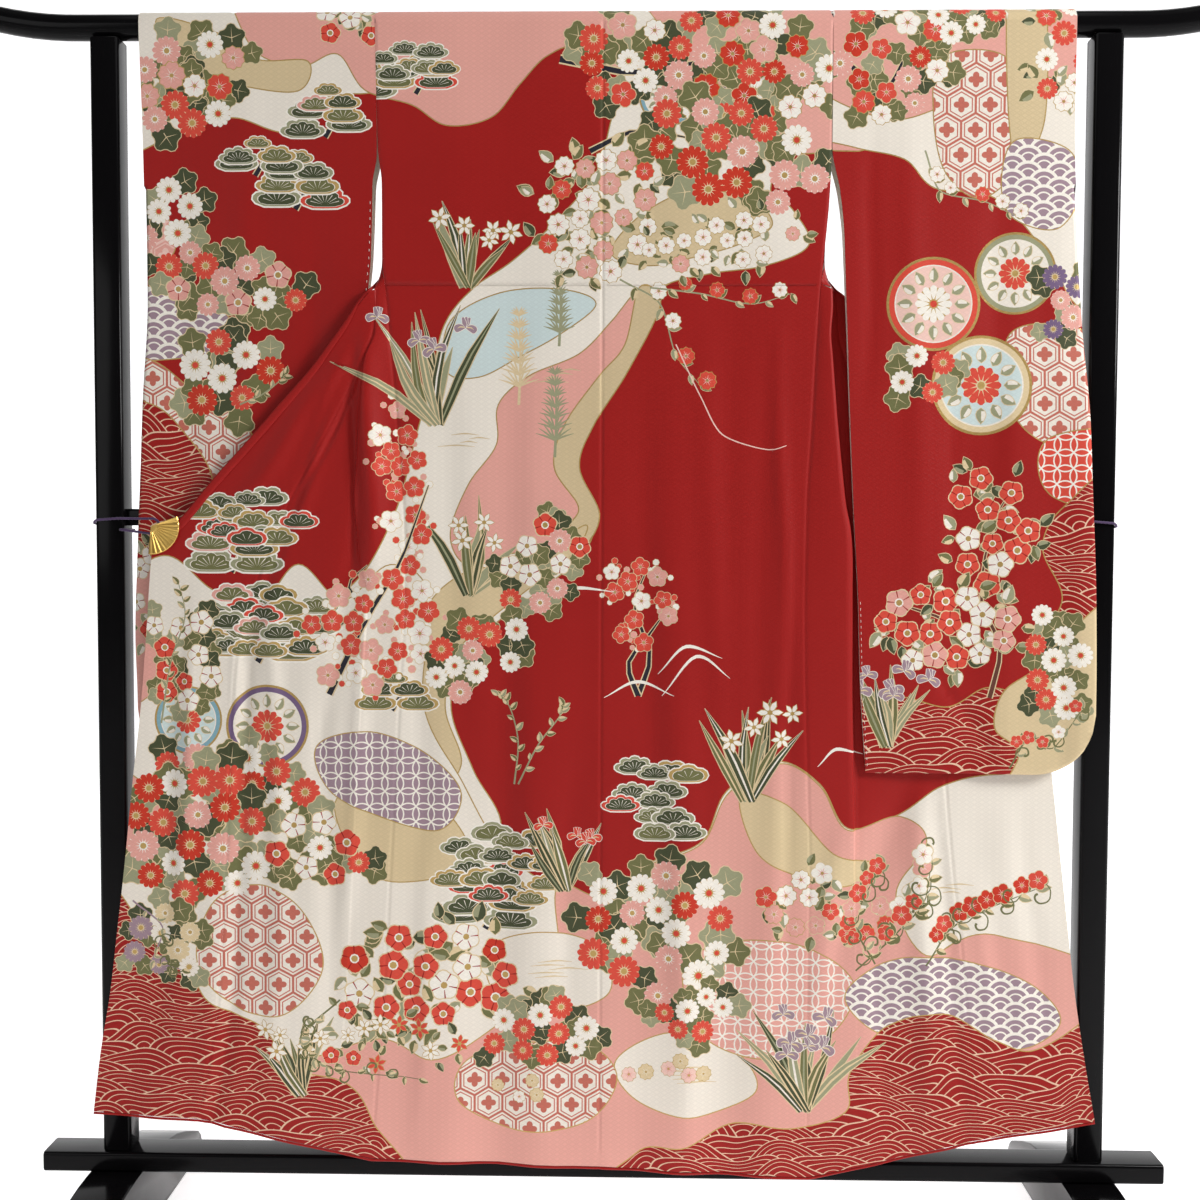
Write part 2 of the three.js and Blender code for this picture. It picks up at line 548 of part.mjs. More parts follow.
// ------------------------------------------------------------------ the collar
// One folded strip round the neck and down both free edges to the clips. It laps the edge on
// the outside and is turned in on the lining side; leg is its width there.
function collarStations(s) {
  const side = s < 0 ? 'left' : 'right';
  const list = [];
  for (const [x, z] of [[0.5, 1705], [24, 1701.6]]) {
    list.push({ p: V(s * x, 19.2, z), n: V(0, 1, 0), leg: 12 });
  }
  for (const r of SHOULDER[side]) {
    const p = V(r.ax, r.ay, r.az);
    const inward = V(r.bx - r.ax, r.by - r.ay, r.bz - r.az);
    const gap = inward.length();
    if (gap < 40) p.addScaledVector(inward, -1.8 / gap);
    list.push({ p, inward, leg: gap < 40 ? 1.2 : Math.min(30, gap * (gap < 95 ? 0.08 : 0.26)), flat: r.az > 1620 });
  }
  const grid = okumiGrid(s);
  grid.forEach((row, i) => {
    if (row[OKUMI_COLS].z < 1000) return;
    const p = row[OKUMI_COLS].clone();
    const inward = V().subVectors(row[0], p);
    const gap = inward.length();
    if (gap < 25) p.addScaledVector(inward, -1.8 / gap);
    list.push({ p, inward, leg: p.z < 1015 ? 22 : gap < 25 ? 0.8 : Math.min(36, gap * (gap < 60 ? 0.15 : 0.4)), flat: false });
  });
  return list;
}
function collar() {
  const left = collarStations(-1);
  const right = collarStations(1);
  const all = [...left.reverse(), ...right.slice(0)];
  const gap = CLOTH / 2 + 0.6;
  const out = gap + COLLAR_WALL;
  const rings = all.map((st, i) => {
    const prev = all[Math.max(0, i - 1)].p;
    const next = all[Math.min(all.length - 1, i + 1)].p;
    const along = V().subVectors(next, prev).normalize(); // left to right along the edge
    let n = V(0, 1, 0);
    if (st.inward && !st.flat) n = V().crossVectors(st.inward, along).normalize();
    let w = V().crossVectors(along, n).normalize();
    if (st.inward && w.dot(st.inward) < 0) w.multiplyScalar(-1);
    if (!st.inward) w = V(0, 0, 1);
    const lap = Math.min(COLLAR_LAP, st.leg * 0.8);
    const at = (d, h) => st.p.clone().addScaledVector(w, d).addScaledVector(n, h);
    const L = st.leg;
    return [at(lap, gap), at(lap, out), at(0, out), at(-1.9, 1.9), at(-2.7, 0), at(-1.9, -1.9),
      at(0, -out), at(L / 2, -out), at(L, -out), at(L, -gap), at(L / 2, -gap), at(0, -gap),
      at(-1.2, -0.7), at(-1.2, 0.7), at(0, gap)];
  });
  loft('collar', rings, RED);
}
collar();

// ------------------------------------------------------------------ the hem roll
// The lining is let out a little below the outer cloth and shows as a thin roll.
function frame(path, i, closed) {
  const n = path.length;
  const a = path[closed ? (i + n - 1) % n : Math.max(0, i - 1)];
  const b = path[closed ? (i + 1) % n : Math.min(n - 1, i + 1)];
  return V().subVectors(b, a).normalize();
}
function rope(name, path, radius, sides, color, closed, options = {}) {
  let up = V(0, 0, 1);
  const rings = path.map((p, i) => {
    const t = frame(path, i, closed);
    const e1 = up.clone().addScaledVector(t, -up.dot(t)).normalize();
    up = e1;
    const e2 = V().crossVectors(t, e1);
    return circle(radius, sides).map(([u, v]) => p.clone().addScaledVector(e1, u).addScaledVector(e2, v));
  });
  loft(name, rings, color, { closed, ...options });
}
function hemRoll() {
  const half = (s) => {
    const side = s < 0 ? 'left' : 'right';
    const row = FAN[side][FAN[side].length - 1];
    const overlap = okumiGrid(s)[FAN[side].length - 1].slice().reverse();
    const front = fanRow(s, row).slice().reverse();
    return [...overlap, ...front.slice(1)];
  };
  const path = half(-1).map((p) => V(p.x, p.y, p.z));
  const back = [];
  for (let x = -280; x <= 260; x += 45) {
    const s = x < 0 ? -1 : 1;
    const side = s < 0 ? 'left' : 'right';
    const row = FAN[side][FAN[side].length - 1];
    const f = 1 - Math.abs(x) / Math.abs(SIDE_X[side](row.sz));
    const z = row.sz + hemSlant(side, row.sz) * f;
    back.push(V(x, lerp(row.sy, BACK_Y(z), Math.min(1, f * 2.5)) + backFold(s, f, z), z));
  }
  const right = half(1).reverse();
  const drop = ROLL_R + 0.9;
  const line = [...path, ...back, ...right].map((p) => V(p.x, p.y, p.z - drop));
  rope('hem_roll', line, ROLL_R, 6, 0x5e1420, false);
}
hemRoll();

// ------------------------------------------------------------------ the clips and cords
const CLIP = {
  left: { x: -638, y: -36, z: 1037, from: 20, to: -96, step: 1 },
  right: { x: 616, y: -16.4, z: 1037, from: 160, to: 276, step: 1 },
};
const HUB = 8.5; // radius of the clip's hinge
// The clip is a small folding fan of brass: a pleated leaf in front and one behind the cloth.
function clip(side) {
  const c = CLIP[side];
  const half = 3.3; // half of the space between the leaves
  const leaf = 1.3;
  const ribs = 14;
  const rings = [];
  for (let i = 0; i <= ribs; i++) {
    const t = (lerp(c.from, c.to, i / ribs) * Math.PI) / 180;
    const rib = i % 2 ? 0.9 : 0;
    const section = [[1.2, -half - leaf], [CLIP_R, -half - leaf - rib], [CLIP_R, -half - rib * 0.4],
      [HUB, -half], [HUB, half], [CLIP_R * 0.8, half], [CLIP_R * 0.8, half + leaf],
      [1.2, half + leaf]];
    rings.push(section.map(([rho, y]) => V(c.x + rho * Math.cos(t), c.y + y, c.z + rho * Math.sin(t))));
  }
  loft(`clip_${side}`, rings, 0xc79a3c, { metal: 0.9, rough: 0.35 });
}
// The cord runs round the clip's hinge and round the post, drawn tight.
function cord(side, s) {
  const c = CLIP[side];
  const path = [];
  const hook = HUB + 0.4 + CORD_R;
  for (let a = 105; a >= -105; a -= 35) {
    const t = (a * Math.PI) / 180;
    path.push(V(c.x - s * hook * Math.cos(t), c.y, c.z + hook * Math.sin(t)));
  }
  // round the post, three points at each corner: under the crossbar on the inner side, then
  // rising as it goes round
  const half = POST_W / 2 + 0.4 + CORD_R;
  const inner = -s;
  const corners = [[inner, -1], [inner, 1], [-inner, 1], [-inner, -1]];
  const points = corners.flatMap(([sx, sy]) => {
    const list = [[sx * (half - 6), sy * half], [sx * (half - 1.9), sy * (half - 1.9)],
      [sx * half, sy * (half - 6)]];
    return sx * sy * inner < 0 ? list : list.reverse();
  });
  points.push([inner * (half - 9), -half - 0.6]);
  const level = (i) => (i < 6 ? c.z - 5 : c.z - 5 + (16 * (i - 5)) / (points.length - 6));
  points.forEach(([x, y], i) => path.push(V(s * POST_X + x, y, level(i))));
  rope(`cord_${side}`, path, CORD_R, 8, 0x5a2d82, true);
}
for (const [side, s] of [['left', -1], ['right', 1]]) {
  clip(side);
  cord(side, s);
}

export default group;
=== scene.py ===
# %% [markdown]
# # A furisode on its stand
# A furisode is a kimono with very long sleeves. Here it hangs by its shoulders from the round bar of
# a black lacquered stand, with its back to the viewer and both fronts opened outward, so that the
# whole dyed picture can be seen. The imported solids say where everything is; this lesson dresses them.

# %% Load the frame
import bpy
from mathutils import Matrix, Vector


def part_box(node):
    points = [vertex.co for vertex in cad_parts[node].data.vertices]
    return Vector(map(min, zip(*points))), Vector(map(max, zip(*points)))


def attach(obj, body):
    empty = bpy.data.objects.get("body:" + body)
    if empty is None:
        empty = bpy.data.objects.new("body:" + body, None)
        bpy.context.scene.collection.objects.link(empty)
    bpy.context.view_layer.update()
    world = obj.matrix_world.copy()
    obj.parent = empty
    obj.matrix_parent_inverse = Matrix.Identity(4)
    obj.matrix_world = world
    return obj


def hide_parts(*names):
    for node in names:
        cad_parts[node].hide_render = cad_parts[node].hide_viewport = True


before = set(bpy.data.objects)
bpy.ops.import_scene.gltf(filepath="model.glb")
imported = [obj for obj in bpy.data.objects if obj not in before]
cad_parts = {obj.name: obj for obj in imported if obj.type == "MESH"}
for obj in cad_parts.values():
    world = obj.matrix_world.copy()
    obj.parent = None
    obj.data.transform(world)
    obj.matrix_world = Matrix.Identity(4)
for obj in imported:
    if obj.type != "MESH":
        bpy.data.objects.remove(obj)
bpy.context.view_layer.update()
import math
import random
import bpy
import numpy as np
from mathutils import Matrix, Vector
from mathutils.geometry import delaunay_2d_cdt

TURN = 2 * math.pi
print("nodes:", ", ".join(sorted(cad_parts)))

# %% [markdown]
# ## Camera and light
# Clothes are shown on a white sweep under large soft lamps, so that silk shines without hard
# highlights. The camera stands a little above the middle of the garment, two metres away, and looks
# almost straight at it. One pale sheet makes the floor and, far behind, curves up into the wall.

# %% Camera
CAMERA_AT = Vector((0.0372, -2.0128, 1.0239))
YAW, PITCH, ROLL = math.radians(1.124), math.radians(2.58), math.radians(0.201)
camera_data = bpy.data.cameras.new("camera")
camera_data.sensor_width, camera_data.lens = 36.0, 42.0
camera_data.clip_start, camera_data.clip_end = 0.05, 60
camera = bpy.data.objects.new("camera", camera_data)
ahead = Vector((-math.sin(YAW) * math.cos(PITCH), math.cos(YAW) * math.cos(PITCH), -math.sin(PITCH)))
right = Vector((math.cos(YAW), math.sin(YAW), 0))
up = right.cross(ahead)
tilted_right = math.cos(ROLL) * right + math.sin(ROLL) * up
tilted_up = -math.sin(ROLL) * right + math.cos(ROLL) * up
axes = Matrix((tilted_right, tilted_up, -ahead)).transposed()
camera.matrix_world = Matrix.Translation(CAMERA_AT) @ axes.to_4x4()
bpy.context.scene.collection.objects.link(camera)
bpy.context.scene.camera = camera
bpy.context.scene.view_settings.view_transform = "Standard"


# %% Lamps, floor and wall
def lamp(name, at, aim, size, watts):
    data = bpy.data.lights.new(name, "AREA")
    data.shape, data.size, data.size_y, data.energy = "RECTANGLE", size[0], size[1], watts
    one = bpy.data.objects.new(name, data)
    one.location = at
    one.rotation_euler = (Vector(aim) - Vector(at)).to_track_quat("-Z", "Y").to_euler()
    bpy.context.scene.collection.objects.link(one)


lamp("lamp_right", (3.0, -1.5, 2.7), (0, 0, 0.9), (0.9, 1.2), 112)
lamp("lamp_left", (-2.4, -2.8, 2.0), (0, 0, 0.9), (1.4, 2.0), 14)
lamp("lamp_top", (0, -0.6, 3.6), (0, 0.1, 0.6), (2.6, 1.4), 12)
world = bpy.data.worlds.new("studio")
world.use_nodes = True
world.node_tree.nodes["Background"].inputs["Color"].default_value = (1, 1, 1, 1)
world.node_tree.nodes["Background"].inputs["Strength"].default_value = 0.1
bpy.context.scene.world = world


def plain_material(name, colour, rough, **sockets):
    material = bpy.data.materials.new(name)
    material.use_nodes = True
    shader = material.node_tree.nodes["Principled BSDF"]
    shader.inputs["Base Color"].default_value = (*colour, 1)
    shader.inputs["Roughness"].default_value = rough
    for socket, value in sockets.items():
        shader.inputs[socket.replace("_", " ")].default_value = value
    return material


def mesh_object(name, points, faces, material):
    mesh = bpy.data.meshes.new(name)
    mesh.from_pydata([tuple(map(float, p)) for p in points], [], [tuple(map(int, f)) for f in faces])
    mesh.materials.append(material)
    mesh.shade_smooth()
    mesh.update()
    one = bpy.data.objects.new(name, mesh)
    bpy.context.scene.collection.objects.link(one)
    return one


WALL_Y, BEND, WALL_TOP, HALF_WIDTH = 5.5, 0.9, 14.0, 22
GLOW_FROM_Y = -1  # nearer than this the floor gives no light of its own
white_paper = plain_material("white_paper", (0.93, 0.93, 0.94), 0.8, Emission_Strength=0.72)
tree = white_paper.node_tree
glow = tree.nodes.new("ShaderNodeAttribute")
glow.attribute_name = "glow"
tree.links.new(glow.outputs["Color"], tree.nodes["Principled BSDF"].inputs["Emission Color"])
bend_y = WALL_Y - BEND
sweep = [(-8.0, 0), (-1.3, 0), (-0.2, 0), (bend_y, 0)]
sweep += [(bend_y + BEND * math.sin(a), BEND - BEND * math.cos(a)) for a in np.linspace(0.2, math.pi / 2, 8)]
sweep.append((WALL_Y, WALL_TOP))
backdrop = mesh_object(
    "backdrop",
    [(x, y, z) for x in (-HALF_WIDTH, HALF_WIDTH) for y, z in sweep],
    [(i, i + 1, len(sweep) + i + 1, len(sweep) + i) for i in range(len(sweep) - 1)],
    white_paper,
)
shine = backdrop.data.color_attributes.new("glow", "FLOAT_COLOR", "POINT")
for value, point in zip(shine.data, backdrop.data.vertices):
    value.color = (*[float(point.co.y > GLOW_FROM_Y)] * 3, 1)
print("camera, 3 lamps, backdrop of", len(backdrop.data.polygons), "faces")

# %% [markdown]
# ## Shader helpers
# Dye, weave and gold are patterns repeated by the thousand. Writing them as sums and not as painted
# pictures keeps them sharp at every distance. `Wire` lets a shader node's output be used in ordinary
# arithmetic, so that a pattern reads as a formula.


# %% Arithmetic on shader wires
class Wire:
    def __init__(self, tree, socket):
        self.tree, self.socket = tree, socket

    def math(self, operation, *others):
        node = self.tree.nodes.new("ShaderNodeMath")
        node.operation = operation
        for slot, value in zip(node.inputs, (self, *others)):
            if isinstance(value, Wire):
                self.tree.links.new(value.socket, slot)
            else:
                slot.default_value = value
        return Wire(self.tree, node.outputs[0])

    def __add__(self, other): return self.math("ADD", other)
    def __sub__(self, other): return self.math("SUBTRACT", other)
    def __mul__(self, other): return self.math("MULTIPLY", other)
    def __truediv__(self, other): return self.math("DIVIDE", other)
    def __lt__(self, other): return self.math("LESS_THAN", other)
    def __gt__(self, other): return self.math("GREATER_THAN", other)
    def near(self, value, width): return self.math("COMPARE", value, width)
    def centred(self, period): return self.math("WRAP", period / 2, -period / 2)
    def length(self, other): return (self * self + other * other).math("SQRT")

    def pick(self, on, off):
        """on where this mask is 1, off where it is 0."""
        return self * (on - off) + off if isinstance(on, Wire) else off - self * (off - on)


def attribute(tree, name):
    node = tree.nodes.new("ShaderNodeAttribute")
    node.attribute_name = name
    return node.outputs["Color"]


def object_place(tree):
    return tree.nodes.new("ShaderNodeTexCoord").outputs["Object"]


def noise(tree, coordinates, scale, detail):
    node = tree.nodes.new("ShaderNodeTexNoise")
    node.inputs["Scale"].default_value = scale
    node.inputs["Detail"].default_value = detail
    tree.links.new(coordinates, node.inputs["Vector"])
    return Wire(tree, node.outputs["Fac"])


def mix(tree, factor, a, b, blend="MIX"):
    """Colours a and b; factor is a wire, or a plain share."""
    node = tree.nodes.new("ShaderNodeMix")
    node.data_type, node.blend_type = "RGBA", blend
    if isinstance(factor, Wire):
        tree.links.new(factor.socket, node.inputs[0])
    else:
        node.inputs[0].default_value = factor
    tree.links.new(a, node.inputs[6])
    tree.links.new(b, node.inputs[7])
    return node.outputs[2]


def bump(tree, height, strength, distance):
    node = tree.nodes.new("ShaderNodeBump")
    node.inputs["Strength"].default_value = strength
    node.inputs["Distance"].default_value = distance
    tree.links.new(height.socket, node.inputs["Height"])
    tree.links.new(node.outputs["Normal"], tree.nodes["Principled BSDF"].inputs["Normal"])


# %% [markdown]
# ## The stand
# The stand is of wood under many coats of black lacquer: nearly a mirror, with a faint waviness where
# the brush went. The solids have the right sizes, but their facets would show in such a gloss, so each
# member is made again with round edges and the same measures. A swept section does for all of them.


# %% Black lacquer
def lacquer_material():
    material = plain_material("black_lacquer", (0.0035, 0.0032, 0.0036), 0.16, Specular_IOR_Level=0.1)
    tree = material.node_tree
    place = object_place(tree)
    bump(tree, noise(tree, place, 9, 2), 0.05, 0.01)
    worn = noise(tree, place, 3, 4)
    tree.links.new((worn * 0.12 + 0.1).socket, tree.nodes["Principled BSDF"].inputs["Roughness"])
    return material


LACQUER = lacquer_material()


def rounded(half_a, half_b, radius, steps=5):
    """A rectangle's outline with round corners, as pairs about the origin."""
    out = []
    for sign_a, sign_b, start in ((1, 1, 0), (-1, 1, 90), (-1, -1, 180), (1, -1, 270)):
        for k in range(steps + 1):
            t = math.radians(start + 90 * k / steps)
            out.append((sign_a * (half_a - radius) + radius * math.cos(t),
                        sign_b * (half_b - radius) + radius * math.sin(t)))
    return out


def loft(rings, closed=False):
    """Points and faces of a skin through rings of equal count, with flat ends."""
    n = len(rings[0])
    points = [p for ring in rings for p in ring]
    turns = len(rings) if closed else len(rings) - 1
    faces = [
        (i * n + k, i * n + (k + 1) % n, (i + 1) % len(rings) * n + (k + 1) % n, (i + 1) % len(rings) * n + k)
        for i in range(turns) for k in range(n)
    ]
    if not closed:
        faces += [tuple(range(n))[::-1], tuple((len(rings) - 1) * n + k for k in range(n))]
    return points, faces


def belongs(one, slot, *nodes):
    """Tells the frame what carries a piece and which solids it covers; slot, what it is made of, is not used.
    """
    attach(one, "root")
    if nodes:
        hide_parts(*nodes)


def lacquered(node, rings):
    """The skin through the rings, in place of one of the stand's solids."""
    one = mesh_object(f"lacquered_{node}", *loft(rings), LACQUER)
    one.data.set_sharp_from_angle(angle=math.radians(35))
    belongs(one, "lacquer", node)


def member(node, stations, section, place):
    """One stick of the stand: stations are (distance along, share of the section)."""
    lacquered(node, [[place(along, a * share, b * share) for a, b in section] for along, share in stations])


# %% Bar, posts, crossbar and beam
BAR_Z, BAR_R = 1.745, 0.018
HALF_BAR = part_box("top_bar")[1][0]


def bar_lift(x):
    return max(0.0, abs(x) - 0.75) ** 2


round_section = [(BAR_R * math.cos(t), BAR_R * math.sin(t)) for t in np.linspace(0, TURN, 49)[:-1]]
BAR_END = [(0, 0.55), (0.002, 0.8), (0.005, 0.94)]  # distance in from the tip, share of the section
bar_stations = [(d - HALF_BAR, share) for d, share in BAR_END]
bar_stations += [(x, 1) for x in np.linspace(-HALF_BAR + 0.008, HALF_BAR - 0.008, 75)]
bar_stations += [(HALF_BAR - d, share) for d, share in reversed(BAR_END)]
member("top_bar", bar_stations, round_section, lambda x, a, b: (x, a, BAR_Z + bar_lift(x) + b))


def straight(node, axis, section_size, radius, soften=0.0015):
    """A straight stick that fills its node's box, with softened ends."""
    lo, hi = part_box(node)
    mid = (lo + hi) / 2
    others = [k for k in range(3) if k != axis]

    def place(along, a, b):
        p = [0.0, 0.0, 0.0]
        p[axis], p[others[0]], p[others[1]] = along, mid[others[0]] + a, mid[others[1]] + b
        return tuple(p)

    ends = [(lo[axis], 0.96), (lo[axis] + soften, 1), (hi[axis] - soften, 1), (hi[axis], 0.96)]
    member(node, ends, rounded(*section_size, radius), place)


for side in ("left", "right"):
    straight(f"post_{side}", 2, (0.0205, 0.0205), 0.006)
straight("crossbar", 0, (0.009, 0.012), 0.004)
straight("base_beam", 0, (0.027, 0.0145), 0.005)
print("bar", round(2 * HALF_BAR, 3), "m long, 2 posts, crossbar, beam")

# %% Feet
FOOT_TOP = [(0.0, 96), (40, 96), (70, 94.5), (100, 91), (140, 83), (184, 68), (222, 52), (247, 41),
            (259, 30), (265.5, 16), (262, 4), (255, 0)]
FOOT_SOLE = [(60, 0), (52, 3.5), (42, 7), (20, 8.6), (0, 9)]


FOOT_X, FOOT_MIDDLE_Z, FOOT_HALF_DEPTH = 705, 45, 267


def foot(side, sign):
    """Six rings across the foot; the outer two on each side are drawn in to round its edges."""
    half = FOOT_TOP + FOOT_SOLE
    loop = half + [(-y, z) for y, z in reversed(half[1:-1])]
    rings = []
    for x, inset in ((-38, 3), (-37.2, 1.2), (-35.5, 0), (35.5, 0), (37.2, 1.2), (38, 3)):
        low, deep = 1 - inset / 140, 1 - inset / FOOT_HALF_DEPTH
        rings.append([((sign * FOOT_X + x) / 1000, y * deep / 1000,
                       (FOOT_MIDDLE_Z + (z - FOOT_MIDDLE_Z) * low) / 1000 if z > 1 else inset * 0.0006)
                      for y, z in loop])
    lacquered(f"foot_{side}", rings)


foot("left", -1)
foot("right", 1)
print("2 feet, each", 2 * FOOT_HALF_DEPTH, "mm deep")

# %% [markdown]
# ## The garment's lines
# A kimono is cut from one long narrow bolt: two straight widths for the body, each running from the
# back hem over the shoulder to the front hem, two half widths for the overlaps, one for each sleeve
# and one for the collar. Measures here are in millimetres and follow the pieces' solids. `curve` draws
# a smooth line through a few measured heights, without overshoot.


# %% Smooth lines through a few measures
def curve(table):
    xs, ys = (np.array(column, float) for column in zip(*table))
    steps = np.diff(ys) / np.diff(xs)
    slopes = np.concatenate([steps[:1], steps[1:], steps[-1:]])
    both = steps[:-1] * steps[1:] > 0
    total = np.where(both, steps[:-1] + steps[1:], 1)
    slopes[1:-1] = np.where(both, 2 * steps[:-1] * steps[1:] / total, 0)

    def at(x):
        x = np.asarray(x, float)
        i = np.clip(np.searchsorted(xs, x, side="right") - 1, 0, len(xs) - 2)
        h = xs[i + 1] - xs[i]
        t = np.clip((x - xs[i]) / h, 0, 1)
        return (ys[i] * (1 + 2 * t) * (1 - t) ** 2 + ys[i + 1] * t * t * (3 - 2 * t)
                + h * (slopes[i] * t * (1 - t) ** 2 - slopes[i + 1] * t * t * (1 - t)))

    return at


def ease(a, b, x):
    t = np.clip((np.asarray(x, float) - a) / (b - a), 0, 1)
    return t * t * (3 - 2 * t)


def blend(a, b, t):
    return a + (b - a) * t


SIDES = {"left": -1, "right": 1}
LAP = 19.3  # from the bar's axis to the middle of the cloth that lies over it
AXIS_Z = 1745.0
TOP = AXIS_Z + LAP * math.pi / 2  # a height above the axis is measured along the cloth
SEAM = 0.02  # half of the space at a seam
SIDE_X = {
    "left": curve([(100, -331), (245, -320), (356, -311), (440, -306), (550, -300), (661, -294),
                   (826, -285), (934, -280), (1004, -279), (1093, -283), (1161, -288), (1228, -293),
                   (1295, -299), (1362, -305), (1417, -311), (1524, -312), (1566, -317), (1762, -321.5)]),
    "right": curve([(100, 301), (278, 297), (416, 298), (544, 299), (675, 295), (831, 290),
                    (940, 288.5), (1074, 290), (1182, 296), (1304, 302), (1421, 311), (1499, 318),
                    (1576, 321), (1762, 321.5)]),
}
BACK_Y = curve([(100, -36), (300, -33), (600, -29), (1050, -25.5), (1392, -22.5), (1566, -20.6), (1745, -LAP)])
FAR_Y = curve([(1566, 13), (1625, 16.6), (1668, 18.4), (1704, 19.2), (1745, LAP)])

# %% The opened fronts, row by row from the armpit to the hem
FAN_COLUMNS = ("side_z", "side_y", "panel_x", "panel_z", "panel_y", "edge_x", "edge_z", "edge_y",
               "pleat_at", "pleat_up", "pleat_y")
FAN = {
    "left": [
        (1379, -25.2, -321.5, 1371, -28.5, -327.5, 1369, -30, 0.90, 1.5, -27),
        (1350, -26.0, -321, 1348, -29.6, -341, 1352, -31, 0.90, 3, -29),
        (1313, -26.8, -323, 1313, -31, -362, 1323, -32, 0.90, 4.5, -30),
        (1278, -27.4, -337, 1278, -32, -385, 1291, -33, 0.87, 6, -31),
        (1243, -28.0, -352, 1243, -32.5, -408, 1260, -33, 0.72, 7, -31),
        (1187, -28.8, -379, 1187, -33, -455, 1207, -34, 0.57, 8, -31),
        (1131, -29.5, -410, 1131, -33.5, -500, 1156, -34.5, 0.476, 8.5, -31.5),
        (1077, -30.0, -440, 1077, -34, -549, 1102, -35, 0.42, 8, -32),
        (1034, -30.4, -458, 1034, -34.5, -600, 1042, -35.5, 0.367, 7, -32),
        (1000, -30.8, -472, 1000, -35, -636, 1011, -36, 0.326, 5, -33),
        (954, -31.0, -492, 954, -35, -643, 950, -35.5, 0.25, 2.5, -33),
        (900, -31.4, -512, 902, -35, -647, 897, -35, 0.22, 0, -33),
        (785, -32.2, -525, 790, -35, -656, 790, -35, 0.22, 0, -33),
        (662, -33.2, -531, 668, -35.5, -670, 669, -36, 0.22, 0, -34),
        (540, -34.4, -536, 548, -36, -683, 546, -37, 0.22, 0, -35),
        (440, -35.4, -541, 460, -36.5, -694, 456, -37.5, 0.22, 0, -36),
        (330, -36.4, -547, 370, -37, -705, 366, -38, 0.22, 0, -37),
        (226, -37.4, -560, 276, -38, -720, 277, -39, 0.22, 0, -38),
        (127, -38.0, -580, 183, -40, -730, 193, -41, 0.22, 0, -39),
    ],
    "right": [
        (1379, -24.2, 331, 1372, 1.5, 337, 1369, 0.5, 0.60, 1, -6),
        (1350, -25.0, 333, 1348, -3, 350, 1352, -2.5, 0.62, 2, -8),
        (1313, -25.6, 335, 1313, -5.5, 366, 1323, -5, 0.54, 3, -8),
        (1278, -26.0, 344, 1278, -7, 388, 1292, -6.5, 0.51, 3.5, -9),
        (1243, -26.4, 356, 1243, -8.5, 410, 1261, -8, 0.465, 4, -10),
        (1187, -27.0, 381, 1187, -10, 455, 1208, -9.5, 0.40, 4.5, -11),
        (1131, -27.6, 408, 1131, -11.3, 497, 1157, -11.5, 0.374, 5, -12),
        (1077, -28.0, 430, 1077, -12.2, 540, 1100, -13.5, 0.371, 5, -12.6),
        (1034, -28.4, 445, 1034, -12.8, 583, 1042, -16, 0.39, 5, -13),
        (1000, -28.7, 455, 1000, -13.2, 612, 1011, -16.5, 0.385, 4.5, -13.5),
        (954, -29.0, 465, 954, -13.5, 616, 950, -16, 0.367, 4, -14.5),
        (900, -29.2, 475, 902, -14, 620, 897, -16, 0.35, 3, -16),
        (785, -29.6, 485, 790, -15.5, 632, 790, -16.5, 0.33, 1.5, -17),
        (662, -30.5, 493, 668, -18.6, 645, 669, -18.5, 0.32, 1, -20),
        (540, -31.5, 504, 548, -23, 659, 546, -21, 0.3, 0, -28),
        (440, -32.3, 514, 465, -27.5, 668, 462, -24.5, 0.3, 0, -31),
        (330, -33.0, 522, 381, -30, 678, 377, -27, 0.3, 0, -32),
        (222, -34.0, 533, 275, -32.5, 694, 272, -31, 0.3, 0, -33),
        (106, -35.0, 545, 163, -35, 708, 192, -34, 0.3, 0, -35),
    ],
}
FAN_ROWS = len(FAN["left"]) - 1
FAN_LINE = {
    side: {name: curve([(i, row[k]) for i, row in enumerate(rows)]) for k, name in enumerate(FAN_COLUMNS)}
    for side, rows in FAN.items()
}
# the height of the side seam gives the row, for reading the seam's depth
SIDE_Y = {side: curve([(row[0], row[1]) for row in reversed(rows)]) for side, rows in FAN.items()}

# %% The shoulders, from the bar down behind it to the armpit, where the front turns over
SHOULDER_COLUMNS = ("outer_x", "outer_y", "outer_z", "inner_x", "inner_y", "inner_z")
SHOULDER = {
    "left": [
        (-321.3, 19.2, 1700, -48, 19.2, 1698), (-321.1, 19.1, 1692, -74, 19.2, 1689),
        (-320.8, 18.4, 1668, -112, 19, 1660), (-319.6, 16.6, 1625, -150, 17.6, 1608),
        (-317.8, 13.4, 1572, -188, 16.2, 1556), (-316, 6, 1530, -226, 14, 1505),
        (-314, -2, 1490, -256, 11.5, 1464), (-312.8, -9, 1456, -283, 8.5, 1428),
        (-311.6, -15.5, 1430, -304, 5.5, 1405), (-311.2, -20, 1414, -314.5, 1, 1394),
        (-310.8, -23.2, 1402, -319, -8, 1386), (-308.8, -24.6, 1390, -321, -19, 1379),
    ],
    "right": [
        (321.3, 19.2, 1700, 48, 19.2, 1698), (321.3, 19.1, 1692, 74, 19.2, 1689),
        (321.3, 18.4, 1668, 112, 19, 1660), (321.1, 16.6, 1625, 150, 17.8, 1608),
        (320.7, 13.4, 1572, 188, 17, 1556), (318.5, 6, 1530, 226, 15.5, 1505),
        (316.5, -2, 1490, 256, 14, 1464), (314.5, -9, 1456, 283, 12, 1428),
        (312.5, -15.5, 1430, 304, 10, 1405), (311.5, -20, 1414, 316, 8, 1394),
        (310.6, -22.6, 1402, 322, 6, 1386), (308, -23.6, 1390, 327, 4, 1379),
    ],
}

